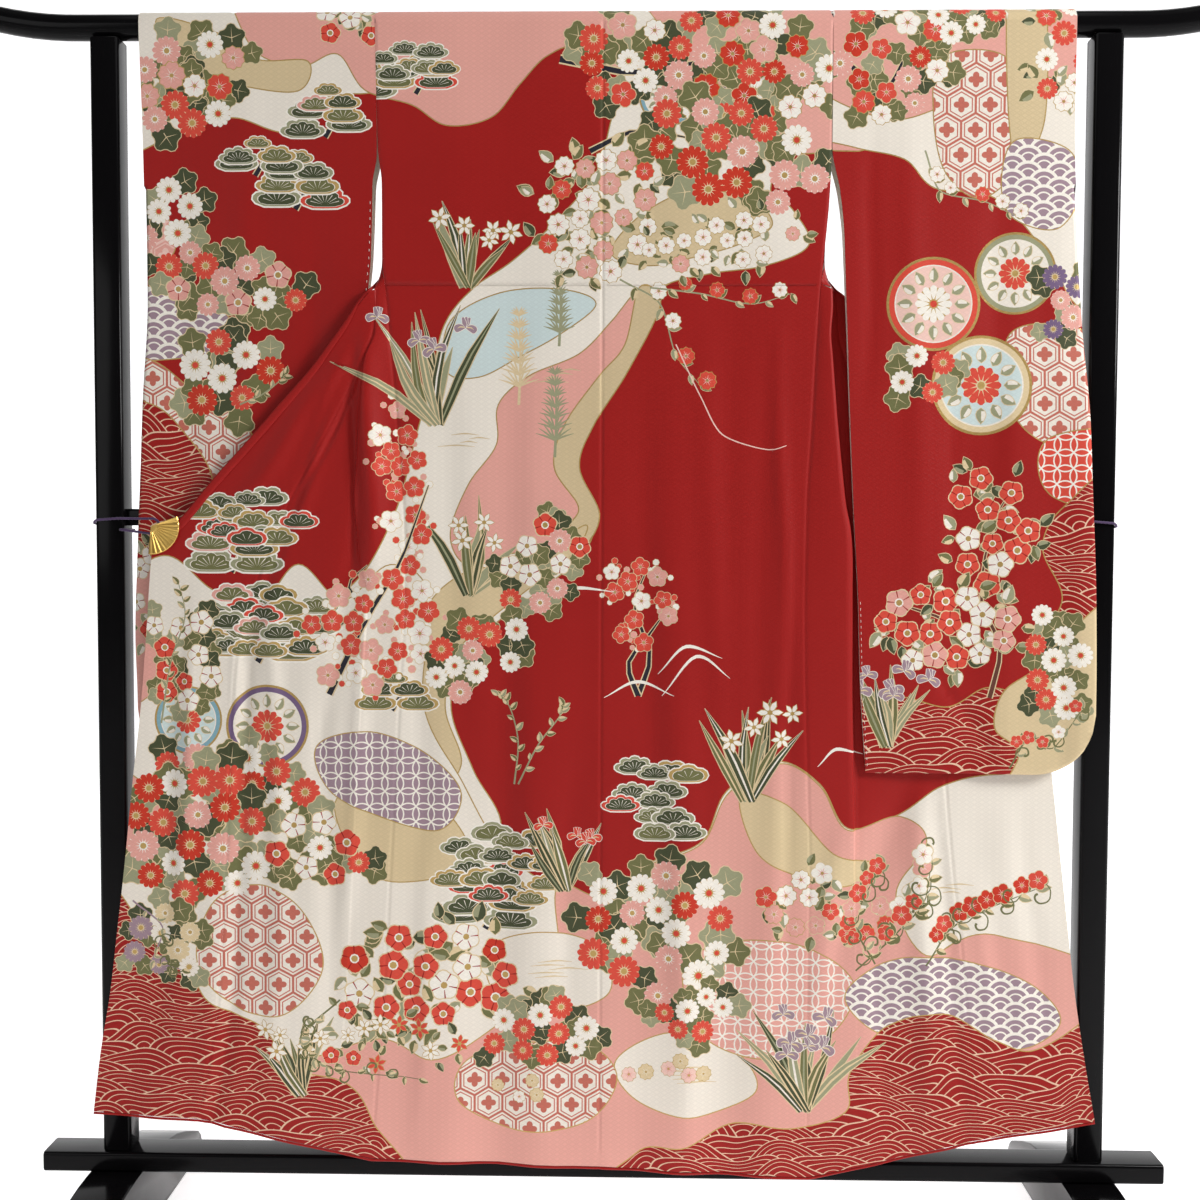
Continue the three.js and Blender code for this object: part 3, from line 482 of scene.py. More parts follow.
# %% The sleeves
SLEEVE = {
    "left": {
        "outer": curve([(690, -667), (802, -668), (874, -670), (989, -666), (1117, -660), (1216, -656),
                        (1357, -648), (1568, -650), (1762, -656)]),
        "inner": curve([(690, -345), (1000, -338), (1300, -335), (1370, -332), (1414, -328),
                        (1470, -326), (1520, -325), (1562, -318.5), (1762, -321.5)]),
        "near": curve([(690, -18), (1050, -19), (1392, -19.4), (1566, -20.6), (1745, -LAP)]),
        "far": curve([(690, -13.5), (1050, -12.3), (1200, -9), (1392, -1), (1500, 7), (1566, 13),
                      (1625, 16.6), (1668, 18.4), (1704, 19.2), (1745, LAP)]),
    },
    "right": {
        "outer": curve([(690, 697), (810, 697), (937, 695), (1106, 687), (1190, 683), (1329, 673),
                        (1426, 666), (1605, 658), (1762, 659)]),
        "inner": curve([(690, 377), (823, 368), (936, 364), (1049, 357), (1189, 350), (1315, 345),
                        (1380, 342), (1453, 339), (1508, 333), (1570, 321.3), (1762, 321.5)]),
        "near": curve([(690, -27.5), (800, -26.4), (900, -25.4), (1000, -24.8), (1100, -24.4),
                       (1200, -23.7), (1392, -22), (1566, -20.6), (1745, -LAP)]),
        "far": curve([(690, -23), (800, -21.4), (900, -20), (1000, -18.6), (1100, -17.4), (1200, -14.4),
                      (1300, -10.2), (1392, -5.5), (1440, -1), (1500, 5.5), (1566, 13), (1625, 16.6),
                      (1668, 18.4), (1704, 19.2), (1745, LAP)]),
    },
}
SLEEVE_BOTTOM, SLEEVE_CORNER, CUFF = 690.0, 85.0, 1515.0
print("fan rows", FAN_ROWS + 1, "sleeve drop", round(AXIS_Z - SLEEVE_BOTTOM), "mm")

# %% [markdown]
# ## Where each width of cloth lies
# Every width is described twice. `spread` gives the flat place, seen from the front, of a share across
# and a share along. `place` gives the depth at such a flat place. The dyed picture is drawn on the flat
# places, so that it runs on across the seams, and is then lifted on to the folds. The folds are soft
# standing waves that deepen to the hem, the pleat that fans out of each armpit, and a few creases.


# %% Rows that are straight lines: find which row passes through a point
def find_row(x, z, line, rows):
    """line(t) gives x and z of both ends of row t. Returns t and the share along that row."""
    low, high = np.zeros_like(x), np.full_like(x, rows)
    for _ in range(34):
        t = (low + high) / 2
        bx, bz, ax, az = line(t)
        above = ((ax - bx) * (z - bz) - (az - bz) * (x - bx)) * np.sign(ax - bx + 1e-9) > 0
        high = np.where(above, t, high)
        low = np.where(above, low, t)
    bx, bz, ax, az = line(t)
    share = ((x - bx) * (ax - bx) + (z - bz) * (az - bz)) / ((ax - bx) ** 2 + (az - bz) ** 2)
    return t, np.clip(share, 0, 1)


def over_bar(x, y, z, far):
    """Where z is above the bar's axis, it is a length of cloth that lies round the bar."""
    turn = np.clip(z - AXIS_Z, 0, LAP * math.pi / 2) / LAP
    lying = z > AXIS_Z
    side = 1 if far else -1
    return np.stack([x, np.where(lying, side * LAP * np.cos(turn), y),
                     np.where(lying, AXIS_Z + LAP * np.sin(turn), z)], -1)


# %% Creases, listed one by one
# from x, z to x, z, the half width, and the depth: above nought it is a trough
BODY_CREASES = [
    (-300, 1330, -250, 560, 16, 2.6), (-215, 1300, -190, 300, 22, 3.0), (-90, 1360, -120, 200, 24, -3.0),
    (60, 1250, 95, 150, 22, 3.2), (150, 1340, 175, 500, 20, -3.2), (235, 1300, 215, 350, 20, 3.2),
    (-40, 700, -60, 120, 18, 3.2), (275, 1020, 258, 250, 12, 3.0), (250, 1330, 262, 760, 11, -2.6),
    (-331, 1330, -325, 930, 15, -6.5), (-348, 1300, -353, 960, 8, 3.2), (-352, 1300, -462, 980, 14, -5.0),
    (-345, 1290, -492, 960, 8, 3.0), (-363, 1280, -532, 1040, 15, -4.5), (-330, 1100, -420, 640, 13, 3.0),
    (-440, 800, -480, 200, 16, -5.0), (-400, 920, -385, 260, 15, 3.4), (-600, 920, -640, 240, 17, 3.6),
    (-540, 700, -575, 180, 18, -4.0), (-505, 940, -530, 560, 10, -3.0),
    (460, 700, 322, 400, 26, 5.5), (455, 680, 470, 160, 15, -4.5), (352, 640, 290, 260, 16, -4.5),
    (600, 660, 640, 220, 18, 4.0), (540, 560, 566, 200, 14, -3.4), (395, 520, 405, 160, 13, 3.6),
    (-492, 985, -535, 560, 9, 3.6), (-462, 990, -470, 520, 12, -4.2), (-325, 960, -372, 420, 13, -4.4),
    (-570, 960, -612, 420, 12, -3.6), (-240, 620, -262, 140, 14, -3.2), (110, 620, 128, 130, 15, -3.0),
]
SLEEVE_CREASES = [
    (-600, 1600, -590, 780, 20, 2.0), (-500, 1680, -515, 880, 22, -2.2), (-400, 1500, -420, 740, 18, 2.0),
    (430, 1650, 450, 900, 20, -2.2), (560, 1600, 545, 880, 22, 2.2), (470, 850, 560, 700, 9, 2.4),
    (640, 1500, 655, 880, 18, -2.0), (500, 1300, 490, 760, 12, 1.6), (380, 1620, 372, 1200, 12, 1.6),
    (-560, 1250, -552, 760, 12, -1.6),
]


def creases(x, z, lines):
    total = 0 * x
    for x0, z0, x1, z1, wide, deep in lines:
        length = math.hypot(x1 - x0, z1 - z0)
        along = ((x - x0) * (x1 - x0) + (z - z0) * (z1 - z0)) / length**2
        off = ((x - x0) * (z1 - z0) - (z - z0) * (x1 - x0)) / length
        fade = np.sin(math.pi * np.clip(along, 0, 1)) ** 0.7
        total = total + deep * fade * np.exp(-((off - 4 * np.sin(7 * along)) / wide) ** 2)
    return total


# %% The back
HEM_CENTRE = 118.0
HEM_SIDE = {"left": 127.0, "right": 106.0}
TUCK_Z = 1378.0


def hem_slant(side, z):
    return (HEM_CENTRE - HEM_SIDE[side]) * ease(440, 110, z)


def back_fold(s, f, z):
    depth = blend(5, 0.6, ease(150, 1500, z))
    return depth * np.sin(math.pi * f) * np.cos(2 * math.pi * (2.1 * f + 0.15 * s + 0.05 * np.sin(z / 260)))


def back(side):
    s = SIDES[side]

    def spread(f, t):
        row = blend(HEM_SIDE[side], TOP, t)
        return blend(SIDE_X[side](row) - s * SEAM, s * SEAM, f), row + hem_slant(side, row) * f

    def place(x, z):
        row = z
        for _ in range(4):
            start = SIDE_X[side](row) - s * SEAM
            f = np.clip((x - start) / (s * SEAM - start), 0, 1)
            row = z - hem_slant(side, row) * f
        upper = blend(-24.2, BACK_Y(row), ease(1395, 1500, row))
        at_side = np.where(row < 1379, SIDE_Y[side](row), upper)
        y = blend(at_side, BACK_Y(z), np.minimum(1, f * 2.5)) + back_fold(s, f, z)
        seam = np.exp(-((1 - f) * abs(start) / 2.4) ** 2) + 0.8 * np.exp(-(f * abs(start) / 2.2) ** 2)
        tuck = -1.1 * (z > TUCK_Z) * ease(1500, 1378, z) * ease(TOP, 1400, z)
        return over_bar(x, y + 1.1 * seam * (z < AXIS_Z) + tuck + creases(x, z, BODY_CREASES), z, False)

    return spread, place


# %% The far side of a shoulder
def shoulder(side):
    s = SIDES[side]
    head = [(SIDE_X[side](z) - s * SEAM, FAR_Y(z), z, s * SEAM, FAR_Y(z), z) for z in (1722.0, 1705.0)]
    wide = SIDE_X[side](AXIS_Z) - s * SEAM
    rows = [(wide, LAP, TOP, s * SEAM, LAP, TOP), (wide, LAP, AXIS_Z, s * SEAM, LAP, AXIS_Z)]
    rows = np.array(rows + head + SHOULDER[side][:8], float)
    index = np.arange(len(rows))
    column = {name: rows[:, k] for k, name in enumerate(SHOULDER_COLUMNS)}

    def read(name, t):
        return np.interp(t, index, column[name])

    def line(t):
        return read("outer_x", t), read("outer_z", t), read("inner_x", t), read("inner_z", t)

    def spread(f, t):
        bx, bz, ax, az = line(t * (len(rows) - 1))
        return blend(bx, ax, f), blend(bz, az, f)

    def place(x, z):
        t, f = find_row(x, z, line, len(rows) - 1)
        return over_bar(x, blend(read("outer_y", t), read("inner_y", t), f), z, True)

    return spread, place


# %% The opened front and its overlap
def pleat_shares(side, t):
    """Where the pleat's fold lies and how wide it is, as shares of the width."""
    line = FAN_LINE[side]
    at = line["pleat_at"](t)
    width = np.abs(line["panel_x"](t) - SIDE_X[side](line["side_z"](t)))
    return at, np.minimum(4 / np.maximum(width, 12), (1 - at) / 2)


def fan_y(side, f, t, z):
    s, line = SIDES[side], FAN_LINE[side]
    (at, step), up = pleat_shares(side, t), line["pleat_up"](t)
    side_y, pleat_y, panel_y = line["side_y"](t), line["pleat_y"](t), line["panel_y"](t)
    low = ease(1050, 700, z) if s < 0 else ease(700, 540, z)
    valley = blend(3.6, 4.4, low) if s < 0 else blend(0.6, 3, low)
    fold = valley * ease(1330, 1200, z) * np.exp(-(((f - 0.92) / 0.05) ** 2))
    fold = fold + 3 * low * np.sin(math.pi * np.clip((f - 0.25) / 0.6, 0, 1)) * np.cos(9 * f + s)
    beyond = blend(pleat_y, panel_y, np.clip((f - at) / np.maximum(0.02, 1 - at), 0, 1)) + fold
    raised = side_y - up * np.sin(math.pi / 2 * np.clip(f / at, 0, 1))
    return blend(raised, beyond, ease(0, 1, (f - at) / step))


def front(side):
    s, line = SIDES[side], FAN_LINE[side]

    def ends(t):
        z = line["side_z"](t)
        return SIDE_X[side](z) + s * SEAM, z, line["panel_x"](t) - s * SEAM, line["panel_z"](t)

    def spread(f, t):
        # a quarter of the columns lies before the pleat's fold, a tenth on it
        at, step = pleat_shares(side, t * FAN_ROWS)
        f = np.where(f < 0.25, f / 0.25 * at, np.where(
            f < 0.35, at + (f - 0.25) / 0.1 * step, at + step + (f - 0.35) / 0.65 * (1 - at - step)))
        bx, bz, ax, az = ends(t * FAN_ROWS)
        return blend(bx, ax, f), blend(bz, az, f)

    def place(x, z):
        t, f = find_row(x, z, ends, FAN_ROWS)
        bx, bz, ax, az = ends(t)
        width = np.hypot(ax - bx, az - bz)
        seam = 0.8 * np.exp(-(f * width / 2.2) ** 2) + np.exp(-((1 - f) * width / 2.2) ** 2)
        y = fan_y(side, f, t, z) + 0.9 * seam * ease(1379, 1300, z)
        return np.stack([x, y + creases(x, z, BODY_CREASES) * ease(1379, 1300, z), z], -1)

    return spread, place


def overlap(side):
    s, line = SIDES[side], FAN_LINE[side]

    def ends(t):
        return (line["panel_x"](t) + s * SEAM, line["panel_z"](t), line["edge_x"](t), line["edge_z"](t))

    def spread(f, t):
        bx, bz, ax, az = ends(t * FAN_ROWS)
        return blend(bx, ax, f), blend(bz, az, f)

    def place(x, z):
        t, f = find_row(x, z, ends, FAN_ROWS)
        bx, bz, ax, az = ends(t)
        low = ease(980, 700, z) if s < 0 else ease(700, 540, z)
        fold = 2.6 * low * np.sin(math.pi * f) * np.cos(6.5 * f - s)
        seam = np.exp(-(f * np.hypot(ax - bx, az - bz) / 2.2) ** 2)
        y = blend(line["panel_y"](t), line["edge_y"](t), f) + fold
        y = y + (0.9 * seam + creases(x, z, BODY_CREASES)) * ease(1379, 1300, z)
        return np.stack([x, y, z], -1)

    return spread, place


# %% The sleeves, near and far layer
def sleeve_push(s, x, z):
    return 0 * x if s < 0 else -(8.2 * ease(510, 580, x) + 4.5 * ease(645, 680, x)) * ease(1330, 1180, z)


def sleeve_fold(s, f, z):
    return 2.2 * ease(1500, 760, z) * np.sin(math.pi * np.clip(f * 1.05, 0, 1)) * np.cos(7.5 * f + 1.2 * s)


def sleeve_bottom(f):
    over = np.maximum(0, f * 325 - (325 - SLEEVE_CORNER))
    return SLEEVE_BOTTOM + SLEEVE_CORNER - np.sqrt(np.maximum(0, SLEEVE_CORNER**2 - over**2))


def sleeve(side, far):
    s, line = SIDES[side], SLEEVE[side]
    layer, other = (line["far"], line["near"]) if far else (line["near"], line["far"])

    def spread(f, t):
        z = blend(SLEEVE_BOTTOM, TOP, t)
        bottom = sleeve_bottom(f)
        z = np.where(z > 1392, z, blend(bottom, 1392, (z - SLEEVE_BOTTOM) / (1392 - SLEEVE_BOTTOM)))
        return blend(line["inner"](z) + s * SEAM, line["outer"](z), f), z

    def place(x, z):
        start, end = line["inner"](z) + s * SEAM, line["outer"](z)
        f = np.clip((x - start) / (end - start), 0, 1)
        y = layer(z) + sleeve_push(s, x, z) + sleeve_fold(s, f, z) + creases(x, z, SLEEVE_CREASES)
        gap = other(z) - layer(z)
        from_edge = np.where(z < CUFF, (1 - f) * np.abs(end - start), 99)
        from_edge = np.minimum(from_edge, np.abs(z - sleeve_bottom(f)))
        round_off = 1 - np.sqrt(np.clip(1 - (1 - np.clip(from_edge / 6, 0, 1)) ** 2, 0, 1))
        return over_bar(x, y + gap / 2 * round_off, z, far)

    return spread, place


PANELS, CREASES = {}, {}
for side in SIDES:
    PANELS[f"back_{side}"] = (*back(side), 36, 180)
    PANELS[f"shoulder_{side}"] = (*shoulder(side), 34, 44)
    PANELS[f"front_{side}"] = (*front(side), 30, 140)
    PANELS[f"overlap_{side}"] = (*overlap(side), 20, 140)
    PANELS[f"sleeve_near_{side}"] = (*sleeve(side, False), 38, 118)
    PANELS[f"sleeve_far_{side}"] = (*sleeve(side, True), 38, 118)


# %% Lines along which the cloth bends sharply
def run(panel, f=None, t=None, inset=0.0, steps=200):
    """A line across or along a panel, at a share, or a few millimetres in from a share of 0 or 1."""
    along = np.linspace(0, 1, steps)

    def at(share):
        shares = (share + 0 * along, along) if t is None else (along, share + 0 * along)
        return np.stack(PANELS[panel][0](*shares), -1)

    line = at(f if t is None else t)
    if inset:
        towards = at(0.5) - line
        line = line + towards * inset / np.maximum(np.hypot(*towards.T), 1e-6)[:, None]
    return line[3:-3]


for side in SIDES:
    for panel in ("back", "front", "overlap"):
        CREASES[f"{panel}_{side}"] = [run(f"{panel}_{side}", f=f, inset=d) for f in (0, 1) for d in (2.2, 5.5)]
    CREASES[f"front_{side}"] += [run(f"front_{side}", f=f)
                                 for f in (0.25, 0.267, 0.283, 0.3, 0.317, 0.333, 0.35)]
    for panel in (f"sleeve_near_{side}", f"sleeve_far_{side}"):
        insets = (0.4, 1.5, 3.5, 6.0)
        CREASES[panel] = [run(panel, f=1, inset=d) for d in insets]
        CREASES[panel] += [run(panel, t=0, inset=d, steps=60) for d in insets]
    across = np.linspace(SIDE_X[side](TUCK_Z), 0.0, 40)[1:-1]
    for drop in (1.2, 0.05, -0.05):
        CREASES[f"back_{side}"].append(np.stack([across, 0 * across + TUCK_Z - drop], -1))
print(len(PANELS), "panels of cloth")

# %% [markdown]
# ## Silk
# The cloth is a heavy silk crepe with a small woven figure, dyed by hand over a drawn outline. Its
# dyed colour, the pattern that fills a shape and the share of gold leaf come from the mesh, where each
# drawn shape keeps its own faces. The repeats inside a shape are sums on the flat place: hexagons,
# scales, rings and waves, each drawn with a second colour. The woven figure is of small lozenges, and
# the crepe itself is a fine bump.


# %% Repeats that fill a shape: each gives 1 on its lines and 0 between
def hexagons(u, v, width):
    half_u, half_v = width / 2, width * math.sqrt(3) / 2
    a = (u.centred(width), v.centred(2 * half_v))
    b = ((u + half_u).centred(width), (v + half_v).centred(2 * half_v))
    first = a[0].length(a[1]) < b[0].length(b[1])
    x, y = first.pick(a[0], b[0]), first.pick(a[1], b[1])
    across = x.math("ABSOLUTE")
    reach = across.math("MAXIMUM", across * 0.5 + y.math("ABSOLUTE") * (math.sqrt(3) / 2))
    edge = reach.near(width / 2, width * 0.04)
    inner = reach.near(width * 0.38, width * 0.02)
    angle = y.math("ARCTAN2", x)
    petals = ((angle * 2).math("COSINE").math("ABSOLUTE") * 0.45 + 0.55) * (width * 0.27)
    flower = x.length(y) < petals
    return edge.math("MAXIMUM", inner).math("MAXIMUM", flower)


def scales(u, v, radius):
    """Overlapping round scales in rows; the lowest row that reaches a point lies on top. Gives the
    share of the way from a scale's centre to its edge."""
    rise = radius / 2
    first = ((v - radius) / rise).math("CEIL")
    found = None
    for k in (2, 1, 0):
        row = first + k
        shift = row.math("MODULO", 2).math("ABSOLUTE") * radius
        reach = (u + shift).centred(2 * radius).length(v - row * rise) / radius
        found = reach if found is None else (reach < 1).pick(reach, found)
    return found


def scale_bands(u, v, radius):
    reach = scales(u, v, radius)
    return (reach > 0.8).math("MAXIMUM", reach.near(0.5, 0.05))


def wave_lines(u, v, radius, lines):
    reach = scales(u, v, radius)
    fine = ((reach * lines).math("FRACT") - 0.5).math("ABSOLUTE") > 0.425
    return fine.math("MAXIMUM", reach > 0.96)


def rings(u, v, width):
    x, y = u.centred(width).math("ABSOLUTE"), v.centred(width).math("ABSOLUTE")
    radius = width * math.sqrt(0.5)
    one = (x + width / 2).length(y - width / 2).near(radius, width * 0.045)
    two = (x - width / 2).length(y + width / 2).near(radius, width * 0.045)
    return one.math("MAXIMUM", two).math("MAXIMUM", x.length(y) < width * 0.09)


def lozenges(u, v, width, height, line):
    x, y = u.centred(width) / width, v.centred(height) / height
    reach = x.math("ABSOLUTE") + y.math("ABSOLUTE")
    angle = y.math("ARCTAN2", x)
    flower = x.length(y) < ((angle * 4).math("COSINE") * 0.3 + 0.75) * 0.2
    return reach.near(0.5, line).math("MAXIMUM", flower)


# %% The silk material
def silk_material(name):
    material = bpy.data.materials.new(name)
    material.use_nodes = True
    tree = material.node_tree
    shader = tree.nodes["Principled BSDF"]
    flat_place = tree.nodes.new("ShaderNodeUVMap")
    flat_place.uv_map = "Cut"
    flat = flat_place.outputs["UV"]
    split = tree.nodes.new("ShaderNodeSeparateXYZ")
    tree.links.new(flat, split.inputs[0])
    u, v = (Wire(tree, split.outputs[axis]) * 1000 for axis in ("X", "Y"))
    craft = tree.nodes.new("ShaderNodeSeparateColor")
    tree.links.new(attribute(tree, "craft"), craft.inputs[0])
    kind, gold = Wire(tree, craft.outputs["Red"]) * 8, Wire(tree, craft.outputs["Green"])
    sway, lift = noise(tree, flat, 7, 1) - 0.5, noise(tree, flat, 11, 0) - 0.5
    wavy_u, wavy_v = u + sway * 90, v * 2.1 + lift * 110
    line = None
    for number, pattern in enumerate(
        (hexagons(u, v, 40), scale_bands(u, v, 22), rings(u, v, 22), wave_lines(wavy_u, wavy_v, 66, 5)),
        start=1,
    ):
        shown = kind.near(number, 0.3) * pattern
        line = shown if line is None else line + shown
    dyed = mix(tree, line, attribute(tree, "ink"), attribute(tree, "ink2"))
    figure = lozenges(u, v, 11, 7, 0.16)
    shade = figure * -0.055 + 1.0 + (noise(tree, flat, 6, 3) - 0.5) * 0.10
    tree.links.new(mix(tree, 1.0, dyed, shade.socket, "MULTIPLY"), shader.inputs["Base Color"])
    grain = noise(tree, flat, 900, 2)
    rough = figure * -0.10 + 0.56 - gold * 0.2 + (grain - 0.5) * 0.2
    tree.links.new(rough.socket, shader.inputs["Roughness"])
    tree.links.new((gold * 0.55).socket, shader.inputs["Metallic"])
    shader.inputs["Sheen Weight"].default_value = 0.03
    shader.inputs["Sheen Roughness"].default_value = 0.4
    shader.inputs["Specular IOR Level"].default_value = 0.22
    bump(tree, grain + figure * 0.5, 0.35, 0.0004)
    return material


SILK = silk_material("dyed_silk_crepe")
print("silk with", len(SILK.node_tree.nodes), "nodes")


# %% [markdown]
# ## The picture
# The dyer draws each outline first and fills it afterwards, later shapes over earlier ones. The same
# is done here: a list of closed outlines with a colour each, in the garment's flat millimetres. One
# list serves both backs, fronts and overlaps, and each sleeve has its own.


# %% A shape of the picture
def linear(code):
    """A dye's colour from its six-digit code, for the shader."""
    parts = [int(code[i:i + 2], 16) / 255 for i in (0, 2, 4)]
    return tuple(c / 12.92 if c <= 0.04045 else ((c + 0.055) / 1.055) ** 2.4 for c in parts)


DYES = {
    "red": "a41a17", "deep_red": "a01916", "foam": "edc6a8", "pink": "ebaa9d", "pale_pink": "f6cdc0",
    "cream": "f5ecde", "white": "fbf4e8", "beige": "e6cfa4", "gold": "c9a765", "coral": "e0503f",
    "rose": "c9705f", "vermilion": "cf3a26",
    "olive": "74744a", "sage": "a0a07e", "moss": "4a5036", "mauve": "a58b96", "plum": "7b6486",
    "pale_blue": "d3e2e0", "sky": "86aebb", "ink": "2b2a33", "brown": "6a4034",
}
DYES = {name: linear(code) for name, code in DYES.items()}
PLAIN, KIKKO, SCALE, RINGS, WAVES = range(5)


def anticlockwise(outline):
    x, z = outline.T
    return outline if (x * np.roll(z, -1) - z * np.roll(x, -1)).sum() >= 0 else outline[::-1]


def plain_look(ink):
    return DYES[ink], DYES[ink], PLAIN, 0.0


class Picture:
    def __init__(self, ground):
        self.ground, self.shapes = (None, *plain_look(ground)), []

    def add(self, outline, ink, second=None, kind=PLAIN, gold=0.0):
        outline = anticlockwise(np.asarray(outline, float))
        self.shapes.append((outline, DYES[ink], DYES[second or ink], kind, gold))

    def pen(self, at, size, angle=0.0):
        """Draws small outlines at one place, as often as asked round its middle."""
        def draw(outline, ink, gold=0.0, times=1, first=0.0):
            for k in range(times):
                turn = TURN * (k + first) / times
                self.add(turned(outline, at, size, angle + turn), ink, gold=gold)

        return draw


def smooth_loop(points, steps):
    """A closed outline that runs evenly through the points."""
    p = np.asarray(points, float)
    t = np.linspace(0, 1, steps, endpoint=False)[:, None]
    before, after, later = np.roll(p, 1, 0), np.roll(p, -1, 0), np.roll(p, -2, 0)
    return np.concatenate([
        0.5 * (2 * b + (c - a) * t + (2 * a - 5 * b + 4 * c - d) * t**2 + (3 * b - a - 3 * c + d) * t**3)
        for a, b, c, d in zip(before, p, after, later)])


def grown(outline, by):
    """The outline moved outward everywhere by the same width."""
    o = anticlockwise(np.asarray(outline, float))
    along = np.roll(o, -1, 0) - np.roll(o, 1, 0)
    along /= np.maximum(np.hypot(*along.T), 1e-6)[:, None]
    return o + np.stack([along[:, 1], -along[:, 0]], -1) * by


# %% Placing and turning small outlines
SQUARE = 1.42  # side of a square of the dyer's paper pattern, counted from its upper left corner


def paper(*squares):
    """Flat millimetres from squares across and down the paper pattern."""
    c = np.asarray(squares, float)
    return np.stack([c[:, 0] * SQUARE - 856, 1778 - c[:, 1] * SQUARE], -1)


def turned(outline, at, size=1.0, angle=0.0):
    o = np.asarray(outline, float) * size
    c, s = math.cos(angle), math.sin(angle)
    return np.stack([at[0] + o[:, 0] * c - o[:, 1] * s, at[1] + o[:, 0] * s + o[:, 1] * c], -1)


def polar(radius, count):
    """An outline from a radius that changes with the angle."""
    t = np.linspace(0, TURN, count, endpoint=False)
    r = radius(t)
    return np.stack([r * np.cos(t), r * np.sin(t)], -1)


def disc(radius, count):
    return polar(lambda t: radius + 0 * t, count)


def stroke(points, widths, ends=3):
    """A tapered brush stroke along a smooth line."""
    p = np.asarray(points, float)
    n = len(p)
    t = np.linspace(0, n - 1, max(5, (n - 1) * ends))
    line = np.stack([curve(list(enumerate(p[:, k])))(t) for k in range(2)], -1)
    w = np.interp(t, np.linspace(0, n - 1, len(widths)), widths)[:, None] / 2
    along = np.gradient(line, axis=0)
    along /= np.maximum(np.hypot(*along.T), 1e-6)[:, None]
    across = np.stack([-along[:, 1], along[:, 0]], -1)
    return np.concatenate([line + across * w, (line - across * w)[::-1]])


# %% Flowers
PETAL = np.array([(0.16, 0), (0.62, -0.17), (0.88, -0.185), (1.0, -0.06), (1.0, 0.06), (0.88, 0.185),
                  (0.62, 0.17)])


def kiku(picture, at, size, ink, petals=13, angle=0.0):
    line, heart = {"white": ("gold", "coral"), "cream": ("gold", "gold"), "beige": ("cream", "gold"),
                   "pink": ("white", "gold")}.get(ink, ("beige", "gold"))
    draw = picture.pen(at, size, angle)
    draw(disc(0.92, 16), line)
    draw(PETAL, ink, times=petals)
    draw(disc(0.27, 8), line)
    draw(disc(0.2, 7), heart, 0.5)


def five_petals(picture, at, size, ink, rim, heart, notch=0.0, angle=0.0):
    draw = picture.pen(at, size, angle)
    for radius, fill, gold in ((0.51, rim, 0.5), (0.44, ink, 0.0)):
        petal = polar(lambda t: radius * (1 - notch * np.exp(-(np.angle(np.exp(1j * t)) / 0.4) ** 2)), 10)
        draw(petal + (0.56, 0), fill, gold, times=5)
    for k in range(5):
        for reach, half, past in ((0.62, 0.03, 0.5), (0.45, 0.02, 0)):
            spoke = picture.pen(at, size, angle + TURN * (k + past) / 5)
            spoke([(0.1, -half), (reach, 0), (0.1, half)], heart)
    draw(disc(0.15, 6), "gold", 0.8)


def plum(picture, at, size, ink, angle=0.0):
    five_petals(picture, at, size, ink, "beige", "cream" if ink != "white" else "coral", 0.0, angle)


def cherry(picture, at, size, ink, angle=0.0):
    heart = "coral" if ink in ("white", "pale_pink") else "cream"
    five_petals(picture, at, size, ink, "gold", heart, 0.35, angle)


def camellia(picture, at, size, ink, angle=0.0):
    bloom = polar(lambda t: 0.8 + 0.2 * np.abs(np.cos(2.5 * t)), 25)
    picture.pen(at, size * 1.1, angle)(bloom, "beige")
    draw = picture.pen(at, size, angle)
    draw(bloom, ink)
    draw([(0.3, -0.02), (0.9, -0.05), (0.9, 0.05), (0.3, 0.02)], "deep_red", times=5, first=0.5)
    draw(disc(0.34, 9), "white")
    draw(disc(0.24, 7), "gold", 0.7)


def star_flower(picture, at, size, ink, angle=0.0):
    petal = np.array([(0.1, 0), (0.35, -0.17), (0.7, -0.2), (1.05, 0), (0.7, 0.2), (0.35, 0.17)])
    for k in range(6):
        draw = picture.pen(at, size, angle + TURN * k / 6)
        draw(grown(petal, 0.07), "gold", 0.5)
        draw(petal, ink)
    picture.pen(at, size, angle)(disc(0.22, 8), "gold", 0.6)


def iris(picture, at, size, ink, angle=0.0):
    drop = np.array([(0, 0), (0.5, 0.25), (0.95, 0.12), (1.05, -0.2), (0.8, -0.5), (0.45, -0.35)])
    draw = picture.pen(at, size, angle)
    for flip in (1, -1):
        shape = smooth_loop(drop * (flip, 1), 3)
        draw(grown(shape, 0.06), "cream")
        draw(shape, ink)
        draw(stroke([(0.1 * flip, 0), (0.45 * flip, 0.02), (0.75 * flip, -0.15)], (0.1, 0.14, 0.03)), "beige")
    upright = np.array([(0, -0.1), (0.2, 0.4), (0.08, 0.95), (-0.1, 0.95), (-0.2, 0.4)])
    for lean in (-0.35, 0, 0.35):
        draw = picture.pen(at, size, angle + lean)
        draw(grown(upright, 0.05), "cream")
        draw(upright, ink)


def bud(picture, at, size, ink, angle=0.0):
    draw = picture.pen(at, size, angle)
    draw(disc(1.15, 7), "beige")
    draw(disc(1.0, 7), ink)


# %% Leaves, blades and branches
def leaf(picture, at, size, angle, dark, light, broad=0.3):
    t = np.linspace(0, 1, 6)
    half = np.sin(math.pi * t ** 0.8) * broad
    upper, lower, vein = (np.stack([t, side], -1) for side in (half, -half, 0.02 + 0 * t))
    whole = np.concatenate([upper, lower[-2:0:-1]])
    draw = picture.pen(at, size, angle)
    draw(grown(whole, 0.05), "beige", 0.4)
    draw(whole, dark)
    draw(np.concatenate([upper[1:-1], vein[-2:0:-1]]), light)


